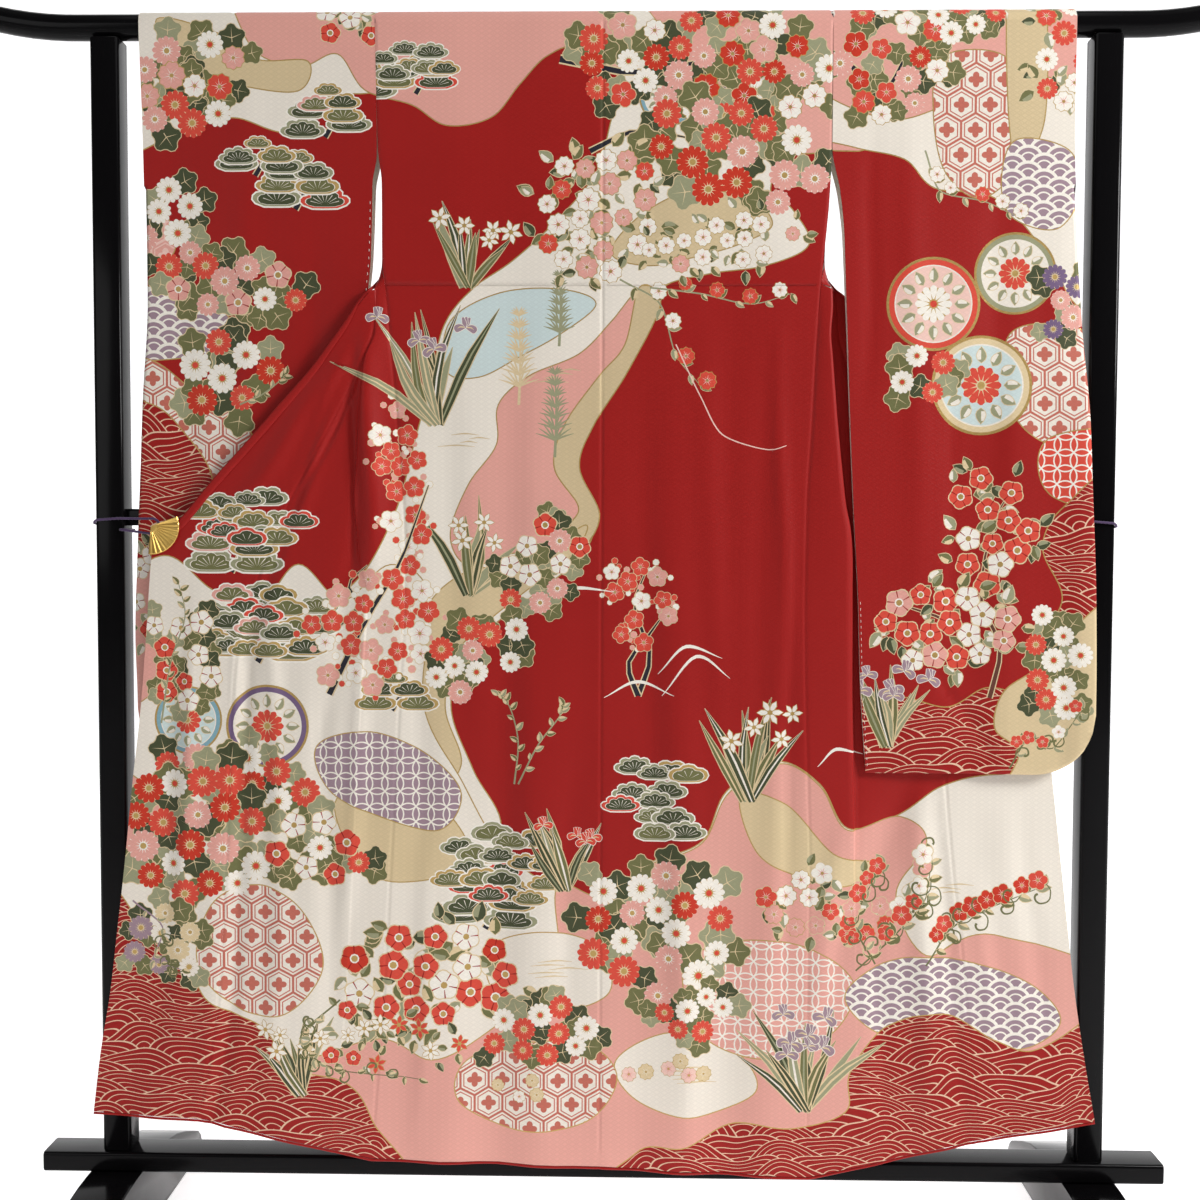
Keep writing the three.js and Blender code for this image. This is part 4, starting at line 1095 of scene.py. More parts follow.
def lobed_leaf(picture, at, size, angle, dark):
    shape = polar(lambda t: 0.6 + 0.4 * np.abs(np.cos(2.5 * t)) ** 0.7, 25)
    draw = picture.pen(at, size, angle)
    draw(grown(shape, 0.06), "beige", 0.4)
    draw(shape, dark)
    for k in (0, 1, 4):
        foot = -0.3 * (k == 0)
        picture.pen(at, size, angle + TURN * k / 5)([(foot, -0.03), (0.8, 0), (foot, 0.03)], "beige")


def blade(picture, base, length, angle, bend, width, ink, light):
    c, s = math.cos(angle), math.sin(angle)
    line = [(0, 0), (0.5 * length, bend * 0.3 * length), (length, bend * length)]
    line = [(base[0] + a * c - b * s, base[1] + a * s + b * c) for a, b in line]
    picture.add(stroke(line, (width * 0.7, width * 1.05, width * 0.85, 1.2)), "beige", gold=0.4)
    picture.add(stroke(line, (width * 0.5, width * 0.85, width * 0.65, 0.3)), ink)
    picture.add(stroke(line, (width * 0.1, width * 0.2, width * 0.15, 0.1)), light)


def branch(picture, points, width, ink="brown"):
    picture.add(stroke(points, (width * 1.5, width, width * 0.4)), "beige")
    picture.add(stroke(points, (width, width * 0.6, width * 0.15)), ink)


# %% Pines: stepped crowns on a bent trunk
def pine_crown(picture, at, size, lobes, ink, band):
    t = np.linspace(0, math.pi, lobes * 4 + 1)
    r = 0.84 + 0.16 * np.abs(np.sin(lobes * t)) ** 0.7
    top = np.stack([r * np.cos(t), r * np.sin(t) * 0.7], -1)
    foot_x = np.linspace(-0.84, 0.84, 6)[1:-1]
    base = np.stack([foot_x, -0.1 - 0.05 * np.abs(np.sin(5 * foot_x))], -1)
    whole = np.concatenate([top, base])
    draw = picture.pen(at, size)
    draw(grown(whole, 0.065), "white")
    draw(whole, band, 0.3 if band == "gold" else 0)
    draw(np.concatenate([top * 0.82, base * (0.82, 0.6)]), "cream")
    draw(np.concatenate([top * 0.78, base * (0.78, 0.5)]), ink)
    spokes = lobes * 2 - 1
    for k in range(1, spokes):
        spoke = turned([(0.12, 0), (0.6, -0.018), (0.6, 0.018)], (0, 0), 1, math.pi * k / spokes)
        draw(spoke * (1, 0.7), "cream")


BANDS = (("olive", "gold"), ("moss", "gold"), ("moss", "sage"), ("olive", "pink"), ("moss", "coral"),
         ("olive", "gold"), ("olive", "sage"), ("moss", "sage"))


def pine_bank(picture, seed, centre, across, high, count, size):
    """Many crowns close together, the lower ones over the upper ones."""
    rng = random.Random(seed)
    area = (tuple(paper(centre)[0]), across * SQUARE, high * SQUARE, 0)
    for x, z in sorted(scatter(area, count, size * 0.9, rng), key=lambda at: -at[1]):
        ink, band = rng.choice(BANDS)
        pine_crown(picture, (x, z), size * rng.uniform(1.05, 1.35), rng.choice((3, 4, 5)), ink, band)


def pine(picture, at, size, seed, steps):
    """Crowns in steps, the lower ones wider, on a bent trunk."""
    rng = random.Random(seed)
    (x, z), = paper(at)
    trunk = [(x - 0.1 * size, z - 0.2 * size), (x + 0.25 * size, z + 0.5 * size),
             (x - 0.1 * size, z + 1.1 * size), (x + 0.1 * size, z + 0.42 * size * steps)]
    branch(picture, trunk, size * 0.16, "ink")
    for k in range(steps):
        for side in (-1, 1):
            reach = size * (0.75 - 0.12 * k) * rng.uniform(0.8, 1.15)
            place = (x + side * reach, z + size * (0.42 * k + rng.uniform(-0.12, 0.12)))
            ink, band = rng.choice(BANDS)
            pine_crown(picture, place, size * (0.78 - 0.07 * k), rng.choice((4, 5)), ink, band)
    pine_crown(picture, (x, z + 0.42 * size * steps), size * 0.5, 4, "olive", "gold")


# %% Groups of flowers
def scatter(area, count, apart, rng):
    """Places inside a tilted ellipse, none nearer to each other than apart."""
    (cx, cz), rx, rz, tilt = area
    found = []
    for _ in range(count * 60):
        if len(found) == count:
            break
        r, a = math.sqrt(rng.random()), rng.uniform(0, TURN)
        p, q = rx * r * math.cos(a), rz * r * math.sin(a)
        x, z = cx + p * math.cos(tilt) - q * math.sin(tilt), cz + p * math.sin(tilt) + q * math.cos(tilt)
        if all(math.hypot(x - u, z - v) > apart for u, v in found):
            found.append((x, z))
    return found


def group(picture, seed, centre, across, high, tilt, count, kinds, inks, size, leaves="lobed"):
    """A drift of flowers over leaves. centre, across and high are squares of the paper pattern."""
    rng, inks = random.Random(seed), inks.split()
    area = (tuple(paper(centre)[0]), across * SQUARE, high * SQUARE, math.radians(tilt))
    places = scatter(area, count, size * 1.78, rng)
    greens = (("olive", "sage"), ("moss", "sage"), ("sage", "cream"), ("olive", "beige"))
    for x, z in places:
        for _ in range(2 if leaves == "lobed" else 3):
            a, d = rng.uniform(0, TURN), size * rng.uniform(1.0, 1.6)
            at = (x + d * math.cos(a), z + d * math.sin(a))
            dark, light = rng.choice(greens)
            if leaves == "lobed":
                lobed_leaf(picture, at, size * rng.uniform(0.85, 1.2), a, dark)
            elif leaves == "pointed":
                leaf(picture, at, size * rng.uniform(1.1, 1.6), a + rng.uniform(-0.5, 0.5), dark, light)
            elif leaves == "buds":
                bud(picture, at, size * rng.uniform(0.25, 0.36), rng.choice(("coral", "white", "pink")))
    for x, z in places:
        flower = rng.choice(kinds)
        flower(picture, (x, z), size * rng.uniform(0.85, 1.12), rng.choice(inks), angle=rng.uniform(0, 6))


def tuft(picture, seed, base, reach, blades, flowers, ink, flower, size, lean):
    """Blades that spring from one foot, with flowers between their tips."""
    rng = random.Random(seed)
    (x, z), = paper(base)
    reach *= SQUARE
    for k in range(blades):
        angle = math.radians(lean + (k - (blades - 1) / 2) * 70 / blades + rng.uniform(-6, 6))
        blade(picture, (x + rng.uniform(-8, 8), z), reach * rng.uniform(0.6, 1.0), angle,
              rng.uniform(-0.4, 0.4), rng.uniform(11, 17), rng.choice(("olive", "sage", "moss")),
              rng.choice(("beige", "cream", "sage")))
    for _ in range(flowers):
        angle = math.radians(lean + rng.uniform(-32, 32))
        d = reach * rng.uniform(0.55, 0.95)
        at = (x + d * math.cos(angle), z + d * math.sin(angle))
        flower(picture, at, size * rng.uniform(0.85, 1.1), ink, angle=rng.uniform(-0.4, 0.4))


def curl(picture, at, size, angle, ink="olive"):
    """A tendril that rolls up at its end."""
    t = np.linspace(0, 1, 9)
    r, a = 0.5 * (1 - t) + 0.1, 1.6 * math.pi * t
    line = turned(np.stack([0.5 - r * np.cos(a), r * np.sin(a)], -1), at, size, angle)
    picture.add(stroke(line, (1.6, 2.4, 3.4), 3), ink)


def sprig(picture, seed, points, leaves, ink="sage", flower=None, size=9, inks="white coral", curls=False):
    """A thin stem with small leaves in pairs, and flowers or tendrils on it if there are any."""
    rng, inks = random.Random(seed), inks.split()
    line = paper(*points)
    picture.add(stroke(line, (2.6, 2.0, 1.0), 8), ink)
    t = np.linspace(0.12, 1, leaves)
    smooth = [curve(list(enumerate(line[:, k])))(t * (len(line) - 1)) for k in range(2)]
    for i, (x, z) in enumerate(zip(*smooth)):
        side = 1 if i % 2 else -1
        a = rng.uniform(0.4, 1.1) * side + math.atan2(line[-1][1] - line[0][1], line[-1][0] - line[0][0])
        leaf(picture, (x, z), size * rng.uniform(1.1, 1.7), a, rng.choice(("olive", "sage")), "beige", 0.25)
        if curls and rng.random() < 0.6:
            curl(picture, (x, z), rng.choice((-1, 1)) * size * rng.uniform(1.8, 2.6),
                 a + rng.uniform(-0.5, 0.5))
        if flower and i % 2:
            at = (x + size * math.cos(a + 1), z + size * math.sin(a + 1))
            flower(picture, at, size * rng.uniform(0.9, 1.2), rng.choice(inks), angle=rng.uniform(0, 6))


WAVY, HEXAGONS, SCALES = ("deep_red", "foam", WAVES), ("cream", "rose", KIKKO), ("mauve", "white", SCALE)


def field(picture, points, ink, second=None, kind=PLAIN, gold=0.0):
    """A cloud or bank of one colour or repeat, with a drawn gold line round it."""
    outline = smooth_loop(paper(*points), 10)
    picture.add(grown(outline, 1.7), "gold", gold=0.8)
    picture.add(outline, ink, second, kind, gold)


def medallion(picture, at, size, ink, second, flower_ink):
    """A round badge: rings, a wreath of petals and one flower."""
    (x, z), = paper(at)
    picture.pen((x, z), size * 1.06)(disc(1.0, 48), "gold", 0.8)
    draw = picture.pen((x, z), size)
    draw(disc(1.0, 48), ink)
    draw(disc(0.88, 44), "cream")
    draw(disc(0.85, 44), second)
    for k in range(12):
        a = TURN * k / 12
        at = (x + 0.48 * size * math.cos(a), z + 0.48 * size * math.sin(a))
        leaf(picture, at, size * 0.34, a, "sage", "cream")
    kiku(picture, (x, z), size * 0.42, flower_ink, petals=12)


def grass(picture, points, width=5.0):
    picture.add(stroke(paper(*points), (0.8, width, 0.6), 9), "white")


def water(picture, at, wide, lines, seed, ink="beige"):
    """Short level strokes that stand for still water."""
    rng = random.Random(seed)
    (x, z), = paper(at)
    for k in range(lines):
        w = wide * rng.uniform(0.35, 0.8)
        u, v = x + rng.uniform(-0.3, 0.3) * wide, z - k * 5.5
        picture.add(stroke([(u - w / 2, v), (u, v + 2.0), (u + w / 2, v)], (0.6, 2.2, 0.6), 6), ink, gold=0.6)


def young_pine(picture, at, high, ink):
    """A seedling: a straight shoot with needles in whorls."""
    (x, z), = paper(at)
    high *= SQUARE
    picture.add(stroke([(x, z), (x + 2, z + high / 2), (x, z + high)], (4, 3, 1.5)), ink)
    for level in range(7):
        y, reach = z + high * (0.2 + 0.13 * level), high * (0.24 - 0.022 * level)
        for side in (-1, 1):
            for k in range(4):
                a = math.radians(20 + 17 * k)
                tip = (x + side * reach * math.cos(a), y + reach * math.sin(a))
                needle = [(x, y), ((x + tip[0]) / 2, (y + tip[1]) / 2 + 1), tip]
                picture.add(stroke(needle, (2.2, 2.8, 0.5), 3), ink)


# %% The picture on both backs, fronts and overlaps: the coloured banks
BODY_PICTURE = Picture("red")
B = BODY_PICTURE
field(B, [(300, -40), (300, 60), (372, 92), (414, 104), (448, 124), (492, 116), (520, 84), (548, 56), (584, 48),
    (640, 84), (640, -40)], "pink")
field(B, [(650, -40), (628, 60), (612, 118), (596, 172), (556, 220), (514, 258), (474, 286), (446, 322),
    (432, 380), (416, 440), (400, 500), (372, 560), (330, 610), (300, 700), (330, 830), (420, 880), (500, 830),
    (474, 766), (452, 706), (462, 652), (496, 618), (544, 582), (584, 548), (596, 508), (574, 462), (586, 416),
    (618, 376), (642, 330), (658, 286), (708, 270), (764, 262), (806, 242), (790, 208), (768, 186), (800, 130),
    (900, 60), (900, -40)], "cream")
field(B, [(640, -60), (700, 90), (780, 150), (860, 120), (900, -60)], "pink")
field(B, [(640, 214), (690, 190), (746, 196), (770, 222), (740, 240), (700, 252), (650, 262), (612, 250)],
    "beige", gold=0.35)
field(B, [(452, 318), (500, 290), (560, 286), (596, 300), (560, 330), (520, 352), (480, 372), (448, 366)],
    "pale_blue")
field(B, [(640, 286), (652, 306), (630, 350), (600, 386), (578, 424), (568, 466), (584, 508), (560, 540),
    (510, 548), (470, 560), (452, 530), (470, 480), (498, 440), (500, 400), (530, 372), (580, 350), (612, 318)],
    "pink")
field(B, [(640, 284), (660, 300), (628, 366), (594, 420), (580, 462), (600, 508), (586, 540), (562, 552),
    (572, 520), (580, 500), (556, 462), (566, 420), (600, 372), (626, 340)], "beige", gold=0.45)
field(B, [(588, 520), (574, 548), (536, 578), (488, 616), (456, 650), (446, 704), (462, 760), (430, 790),
    (404, 740), (414, 660), (430, 600), (470, 566), (520, 560), (560, 536)], "beige", gold=0.35)
field(B, [(40, 560), (120, 568), (170, 552), (214, 586), (262, 600), (300, 560), (344, 596), (392, 560),
    (430, 590), (424, 700), (462, 776), (500, 842), (556, 884), (606, 892), (656, 858), (706, 836), (730, 786),
    (780, 756), (822, 778), (850, 822), (900, 812), (948, 780), (1010, 768), (1140, 770), (1140, 1240),
    (40, 1240)], "cream")
field(B, [(560, 884), (606, 894), (656, 860), (706, 838), (732, 788), (782, 758), (822, 780), (850, 824),
    (904, 812), (930, 836), (900, 890), (930, 950), (1000, 930), (1140, 1000), (1140, 1240), (60, 1240),
    (150, 1000), (230, 1030), (300, 1060), (380, 1040), (440, 1060), (520, 1010), (560, 960)], "pink")
field(B, [(744, 790), (790, 800), (836, 848), (880, 860), (850, 880), (800, 870), (760, 846)],
    "beige", gold=0.35)
field(B, [(620, 1060), (680, 1030), (740, 1050), (760, 1090), (700, 1116), (640, 1100)], "cream")
field(B, [(490, 950), (540, 930), (600, 944), (612, 990), (560, 1010), (500, 996)], "cream")
field(B, [(336, 800), (390, 776), (440, 800), (470, 850), (430, 876), (370, 870)], "beige", gold=0.35)
field(B, [(318, 742), (372, 728), (430, 752), (462, 790), (440, 826), (380, 812), (330, 786)],
    "mauve", "white", RINGS)
field(B, [(214, 900), (262, 884), (304, 912), (322, 968), (284, 1014), (232, 1006), (196, 960)], *HEXAGONS)
field(B, [(466, 1064), (522, 1044), (590, 1044), (620, 1078), (590, 1122), (520, 1132), (462, 1104)], *HEXAGONS)
field(B, [(688, 962), (744, 938), (812, 944), (858, 980), (836, 1030), (770, 1056), (708, 1034)],
    "pink", "white", RINGS)
field(B, [(850, 992), (892, 958), (956, 954), (1030, 976), (1066, 1014), (1034, 1042), (960, 1046),
    (888, 1032)], *SCALES)
field(B, [(60, 872), (108, 884), (142, 930), (182, 958), (206, 1002), (262, 1030), (292, 1070), (346, 1086),
    (372, 1124), (400, 1220), (40, 1240)], *WAVY)
field(B, [(1140, 960), (1092, 1014), (1040, 1046), (1000, 1036), (948, 1010), (890, 1026), (856, 1070),
    (852, 1110), (800, 1128), (740, 1124), (690, 1148), (640, 1156), (600, 1240), (1140, 1240)], *WAVY)
field(B, [(60, 600), (120, 604), (160, 640), (150, 690), (100, 700)], "pink")
field(B, [(110, 770), (150, 790), (170, 840), (140, 880), (100, 850)], "pink")

# %% The picture on both backs, fronts and overlaps: trees and flowers
pine(B, (356, 96), 44, 1, 3)
pine(B, (420, 88), 40, 2, 2)
pine(B, (236, 560), 50, 4, 3)
pine(B, (262, 650), 54, 5, 3)
pine(B, (490, 920), 52, 6, 4)
pine(B, (396, 700), 40, 7, 2)
pine_bank(B, 71, (250, 520), 56, 26, 12, 24)
pine_bank(B, 72, (270, 622), 66, 34, 18, 25)
pine_bank(B, 73, (500, 870), 56, 40, 16, 25)
pine_bank(B, 74, (660, 800), 40, 44, 12, 24)
pine_bank(B, 75, (410, 66), 40, 16, 7, 20)
pine_bank(B, 76, (648, 50), 40, 12, 6, 20)
medallion(B, (188, 716), 46, "sky", "pale_blue", "coral")
medallion(B, (268, 722), 56, "plum", "cream", "coral")
medallion(B, (668, 96), 40, "sky", "cream", "coral")
medallion(B, (752, 92), 46, "plum", "pale_blue", "white")
water(B, (560, 366), 60, 4, 8)
water(B, (470, 430), 70, 4, 9)
water(B, (560, 960), 80, 5, 10)
water(B, (690, 1066), 90, 5, 11)
water(B, (960, 880), 70, 3, 12)
young_pine(B, (520, 400), 90, "beige")
young_pine(B, (560, 342), 70, "sage")
young_pine(B, (556, 452), 84, "sage")
tuft(B, 16, (470, 284), 86, 9, 5, "white", star_flower, 15, 84)
tuft(B, 18, (470, 590), 100, 9, 4, "white", star_flower, 14, 80)
tuft(B, 19, (566, 888), 96, 9, 4, "coral", iris, 14, 92)
tuft(B, 20, (750, 796), 110, 10, 5, "white", star_flower, 16, 88)
tuft(B, 21, (810, 1110), 110, 12, 7, "mauve", iris, 17, 92)
tuft(B, 22, (300, 1098), 90, 9, 5, "white", star_flower, 14, 100)
for number, (foot_at, bends) in enumerate((((640, 690), [(652, 650), (636, 600), (650, 560)]),
                                           ((640, 690), [(630, 660), (650, 630), (664, 610)]))):
    branch(B, paper(foot_at, *bends), 7, "ink")
group(B, 23, (640, 600), 30, 52, 12, 11, (plum,), "coral white coral pink", 13, "buds")
for line in ([(548, 604), (580, 582), (616, 586)], [(606, 692), (640, 676), (676, 690)],
             [(660, 668), (690, 640), (724, 652)], [(664, 690), (700, 650), (732, 672)],
             [(820, 760), (840, 742), (866, 748)]):
    grass(B, line)
branch(B, paper((560, 60), (640, 74), (720, 60), (800, 90)), 9, "ink")
branch(B, paper((590, 150), (640, 130), (700, 140)), 7, "ink")
sprig(B, 24, [(620, 276), (660, 300), (676, 350), (700, 380)], 8, "sage", cherry, 12)
sprig(B, 25, [(650, 284), (700, 290), (750, 300), (790, 290)], 9, "sage", cherry, 11)
runner = paper((676, 340), (700, 390), (724, 430), (770, 444), (786, 440))
B.add(stroke(runner, (1.8, 1.8, 1.2), 10), "pale_pink")
sprig(B, 26, [(516, 780), (520, 740), (510, 700), (500, 690)], 12, "sage")
sprig(B, 27, [(520, 780), (540, 740), (562, 710), (566, 700)], 12, "sage")
group(B, 28, (700, 66), 128, 52, -4, 62, (cherry, kiku, plum, kiku),
      "white coral vermilion pink white", 19, "lobed")
group(B, 29, (730, 150), 90, 44, -20, 26, (kiku,), "coral white pink vermilion", 21)
group(B, 30, (600, 210), 60, 60, 45, 30, (cherry,), "white coral white pink", 16, "pointed")
group(B, 31, (720, 240), 78, 20, 8, 14, (cherry,), "white pink white", 13, "pointed")
group(B, 32, (404, 484), 20, 84, 8, 18, (plum,), "coral white coral pink", 14, "buds")
tuft(B, 17, (438, 420), 130, 11, 4, "mauve", iris, 15, 104)
branch(B, paper((330, 690), (370, 610), (400, 560), (430, 480)), 8, "ink")
branch(B, paper((340, 620), (360, 600), (350, 580), (370, 560)), 6, "ink")
group(B, 33, (372, 626), 66, 52, 30, 34, (plum,), "coral coral white pink", 16, "buds")
group(B, 34, (540, 560), 34, 50, -40, 14, (kiku, camellia), "coral white pink", 16)
group(B, 35, (476, 650), 30, 60, -60, 12, (kiku,), "pink white coral", 17)
group(B, 36, (182, 650), 30, 56, 10, 10, (camellia,), "coral white", 15, "lobed")
group(B, 79, (240, 776), 76, 22, -10, 12, (kiku,), "coral white vermilion pink", 20)
group(B, 37, (196, 830), 70, 66, -20, 34, (kiku,), "coral white vermilion pink coral", 21)
group(B, 38, (320, 850), 50, 34, -30, 14, (kiku, camellia), "coral white", 18)
group(B, 39, (660, 930), 72, 66, 0, 34, (kiku,), "coral white vermilion white pink", 21)
group(B, 40, (430, 972), 86, 42, 0, 30, (camellia,), "coral vermilion white", 20, "pointed")
group(B, 41, (540, 1030), 60, 26, 6, 12, (kiku,), "coral white", 17)
group(B, 42, (390, 1040), 90, 30, -6, 12, (star_flower, camellia), "white coral", 13, "pointed")
group(B, 43, (840, 900), 76, 34, -10, 16, (cherry, plum), "coral white pink", 15, "pointed")
group(B, 44, (160, 940), 40, 30, -40, 8, (kiku,), "beige mauve cream", 16)
sprig(B, 45, [(860, 966), (900, 930), (930, 890), (936, 850)], 14, "olive", plum, 13, "coral white pink", True)
sprig(B, 46, [(930, 960), (960, 920), (1000, 900), (1050, 880)], 16, "olive", plum, 13, "coral vermilion", True)
sprig(B, 47, [(880, 960), (860, 920), (870, 890), (890, 860)], 12, "olive", plum, 12, "pink coral", True)
sprig(B, 48, [(340, 1000), (300, 1040), (330, 1070), (420, 1080)], 18, "olive", curls=True)
sprig(B, 77, [(160, 720), (170, 660), (186, 610), (180, 580)], 14, "sage")
sprig(B, 78, [(130, 900), (160, 930), (150, 960), (180, 970)], 10, "mauve", curls=True)
group(B, 49, (700, 1010), 40, 20, 0, 8, (kiku,), "coral white", 16)
group(B, 80, (672, 1070), 44, 12, 0, 6, (cherry,), "beige pale_pink", 11, "none")
group(B, 81, (520, 1090), 30, 12, 0, 4, (cherry,), "beige white", 11, "none")
print("body picture:", len(B.shapes), "shapes")

# %% The pictures on the sleeves: banks
L = Picture("red")
field(L, [(90, -60), (90, 180), (140, 150), (190, 128), (236, 116), (290, 130), (330, 96), (372, 92), (420, 80),
    (420, -60)], "cream")
field(L, [(240, -60), (250, 40), (300, 66), (340, 54), (372, 92), (440, 90), (440, -60)], "pink")
field(L, [(160, 20), (220, 34), (260, 60), (310, 62), (300, 90), (240, 84), (190, 70)], "beige", gold=0.35)
field(L, [(90, 180), (150, 190), (176, 240), (150, 262), (90, 250)], "pink", "pale_pink", KIKKO)
field(L, [(120, 292), (170, 284), (222, 306), (236, 340), (190, 352), (120, 350)], *SCALES)
field(L, [(90, 350), (150, 356), (190, 384), (236, 410), (260, 450), (250, 480), (190, 470), (150, 440),
    (90, 430)], *HEXAGONS)
field(L, [(90, 400), (150, 400), (184, 430), (210, 470), (206, 520), (150, 540), (90, 540)], *WAVY)
field(L, [(90, 560), (150, 566), (170, 620), (160, 700), (90, 720)], "pink")
R = Picture("red")
field(R, [(800, -60), (800, 120), (850, 150), (900, 128), (950, 118), (1010, 110), (1120, 130), (1120, -60)],
    "pink")
field(R, [(800, 130), (850, 146), (900, 158), (930, 186), (990, 196), (1040, 250), (1070, 300), (1120, 330),
    (1120, 120), (1040, 80), (980, 90), (900, 120), (850, 110), (800, 90)], "cream")
field(R, [(936, 60), (990, 56), (1016, 90), (1012, 160), (976, 196), (940, 170), (928, 110)], *HEXAGONS)
field(R, [(1000, -20), (1032, -20), (1036, 120), (1006, 150)], "beige", gold=0.5)
field(R, [(1010, 140), (1060, 150), (1072, 190), (1050, 226), (1006, 214), (996, 176)], *SCALES)
field(R, [(1006, 330), (1060, 322), (1110, 350), (1110, 440), (1040, 436), (1004, 396)], *HEXAGONS)
field(R, [(1050, 430), (1110, 430), (1110, 500), (1050, 490), (1034, 456)], "coral", "white", RINGS)
field(R, [(1110, 480), (1060, 500), (1040, 540), (1060, 590), (1040, 640), (1070, 690), (1120, 700)], *WAVY)
field(R, [(850, 700), (900, 690), (950, 700), (990, 680), (1030, 700), (1040, 760), (1010, 800), (850, 800)],
    *WAVY)
field(R, [(1120, 600), (1064, 626), (1036, 660), (1004, 684), (996, 720), (1020, 744), (1012, 790),
    (1120, 800)], "beige", gold=0.3)

# %% The pictures on the sleeves: trees and flowers
pine(L, (300, 200), 46, 51, 3)
pine(L, (330, 130), 42, 52, 3)
pine(L, (260, 168), 40, 53, 2)
group(L, 54, (190, 84), 56, 40, 20, 12, (kiku, cherry), "coral white pink", 19)
group(L, 55, (170, 226), 30, 40, 0, 9, (kiku,), "coral white pink", 18)
group(L, 56, (240, 284), 66, 32, -10, 16, (kiku, camellia), "coral white pink", 19)
group(L, 57, (230, 370), 44, 34, 0, 14, (kiku,), "coral white vermilion", 21)
group(L, 58, (360, 20), 40, 20, 0, 6, (camellia,), "coral white", 16, "pointed")
group(L, 59, (150, 590), 20, 40, 0, 6, (camellia,), "white coral", 15, "pointed")
sprig(L, 60, [(240, 400), (262, 390), (280, 376), (286, 370)], 8)
branch(R, paper((836, 60), (880, 90), (900, 60), (930, 40)), 8, "ink")
group(R, 61, (886, 60), 52, 60, 10, 22, (cherry, plum, kiku), "coral white vermilion pink", 17)
group(R, 62, (1052, 60), 24, 60, 0, 8, (cherry, kiku), "coral white", 16, "pointed")
group(R, 63, (960, 20), 30, 20, 0, 5, (kiku,), "white coral", 16)
sprig(R, 64, [(920, 150), (936, 190), (980, 200), (1010, 214)], 10, "sage", cherry, 10)
medallion(R, (930, 300), 62, "coral", "pale_pink", "white")
medallion(R, (1010, 270), 54, "sage", "cream", "coral")
medallion(R, (978, 380), 66, "beige", "pale_blue", "coral")
group(R, 65, (918, 370), 26, 30, 0, 5, (kiku,), "white coral", 18)
group(R, 66, (1060, 300), 22, 34, 0, 6, (kiku,), "pink white plum", 16)
branch(R, paper((990, 690), (1000, 640), (980, 590), (990, 520), (1010, 480)), 6, "brown")
branch(R, paper((990, 640), (940, 610), (910, 600), (890, 590)), 5, "brown")
group(R, 67, (990, 520), 36, 60, 0, 12, (camellia,), "coral white coral", 17, "pointed")
group(R, 68, (950, 620), 66, 40, 0, 16, (camellia,), "coral pink white", 17, "pointed")
tuft(R, 69, (890, 740), 90, 10, 6, "mauve", iris, 16, 88)
group(R, 70, (1056, 660), 24, 60, 10, 9, (kiku,), "coral white", 16)
sprig(R, 80, [(1010, 760), (1030, 730), (1050, 740), (1080, 700)], 10, "olive", plum, 10, "coral white", True)
SLEEVE_PICTURES = {"left": L, "right": R}
print("sleeve pictures:", len(L.shapes), "and", len(R.shapes), "shapes")

# %% [markdown]
# ## Cutting the picture into the cloth
# A painted image would blur and would have to be wrapped round every fold. Here each drawn outline
# becomes edges of the mesh instead: a constrained triangulation takes the panel's outline, an even
# lattice for the folds and every drawn shape, and each face is coloured by the topmost shape over it.
# Outlines that later shapes hide would still cost faces, so the panel is then cut a second time, along
# the lines between two colours alone. Normals come from the surface itself, so slender faces don't show.


# %% One panel as points, faces and colours
def surface_normals(place, x, z, away, step=0.4):
    du = place(x + step, z) - place(x - step, z)
    dv = place(x, z + step) - place(x, z - step)
    normal = np.cross(du, dv) * (-1 if away else 1)
    return normal / np.maximum(np.linalg.norm(normal, axis=1), 1e-9)[:, None]


def outline_of(spread, across, along):
    f, t = np.linspace(0, 1, across + 1), np.linspace(0, 1, along + 1)
    edges = [(f[:-1], 0 * f[:-1]), (0 * t[:-1] + 1, t[:-1]), (f[:0:-1], 0 * f[:-1] + 1), (0 * t[:-1], t[:0:-1])]
    xs, zs = zip(*(spread(a, b) for a, b in edges))
    loop = np.stack([np.concatenate(xs), np.concatenate(zs)], -1)
    keep = np.hypot(*(loop - np.roll(loop, 1, 0)).T) > 0.02
    return anticlockwise(loop[keep])


def cut_panel(name, picture):
    spread, place, across, along = PANELS[name]
    edge = outline_of(spread, across * 2, along)
    f, t = np.meshgrid((np.arange(across) + 0.5) / across, (np.arange(along) + 0.5) / along)
    lattice = np.stack(spread(f.ravel(), t.ravel()), -1)
    low, high = edge.min(0), edge.max(0)
    points, faces, inks = [edge, lattice], [list(range(len(edge)))], [picture.ground]
    start = len(edge) + len(lattice)
    for shape in picture.shapes:
        outline = shape[0]
        if (outline.max(0) < low).any() or (outline.min(0) > high).any():
            continue
        points.append(outline)
        faces.append(list(range(start, start + len(outline))))
        start += len(outline)
        inks.append(shape)
    flat = [Vector(p) for p in np.concatenate(points)]
    found = delaunay_2d_cdt(flat, [], faces, 0, 1e-4, True)
    kept = [(face, max(ids)) for face, ids in zip(found[2], found[5]) if 0 in ids]
    looks = {}
    look_of = [looks.setdefault(ink[1:], len(looks)) for ink in inks]
    lines = visible_lines(np.array([k[0] for k in kept]), np.array([look_of[k[1]] for k in kept]))
    where, faces, shown = recut(np.array([p[:] for p in found[0]]), lines, lattice, CREASES.get(name, ()))
    looks = list(looks)
    return where, faces, [looks[k] for k in shown], place


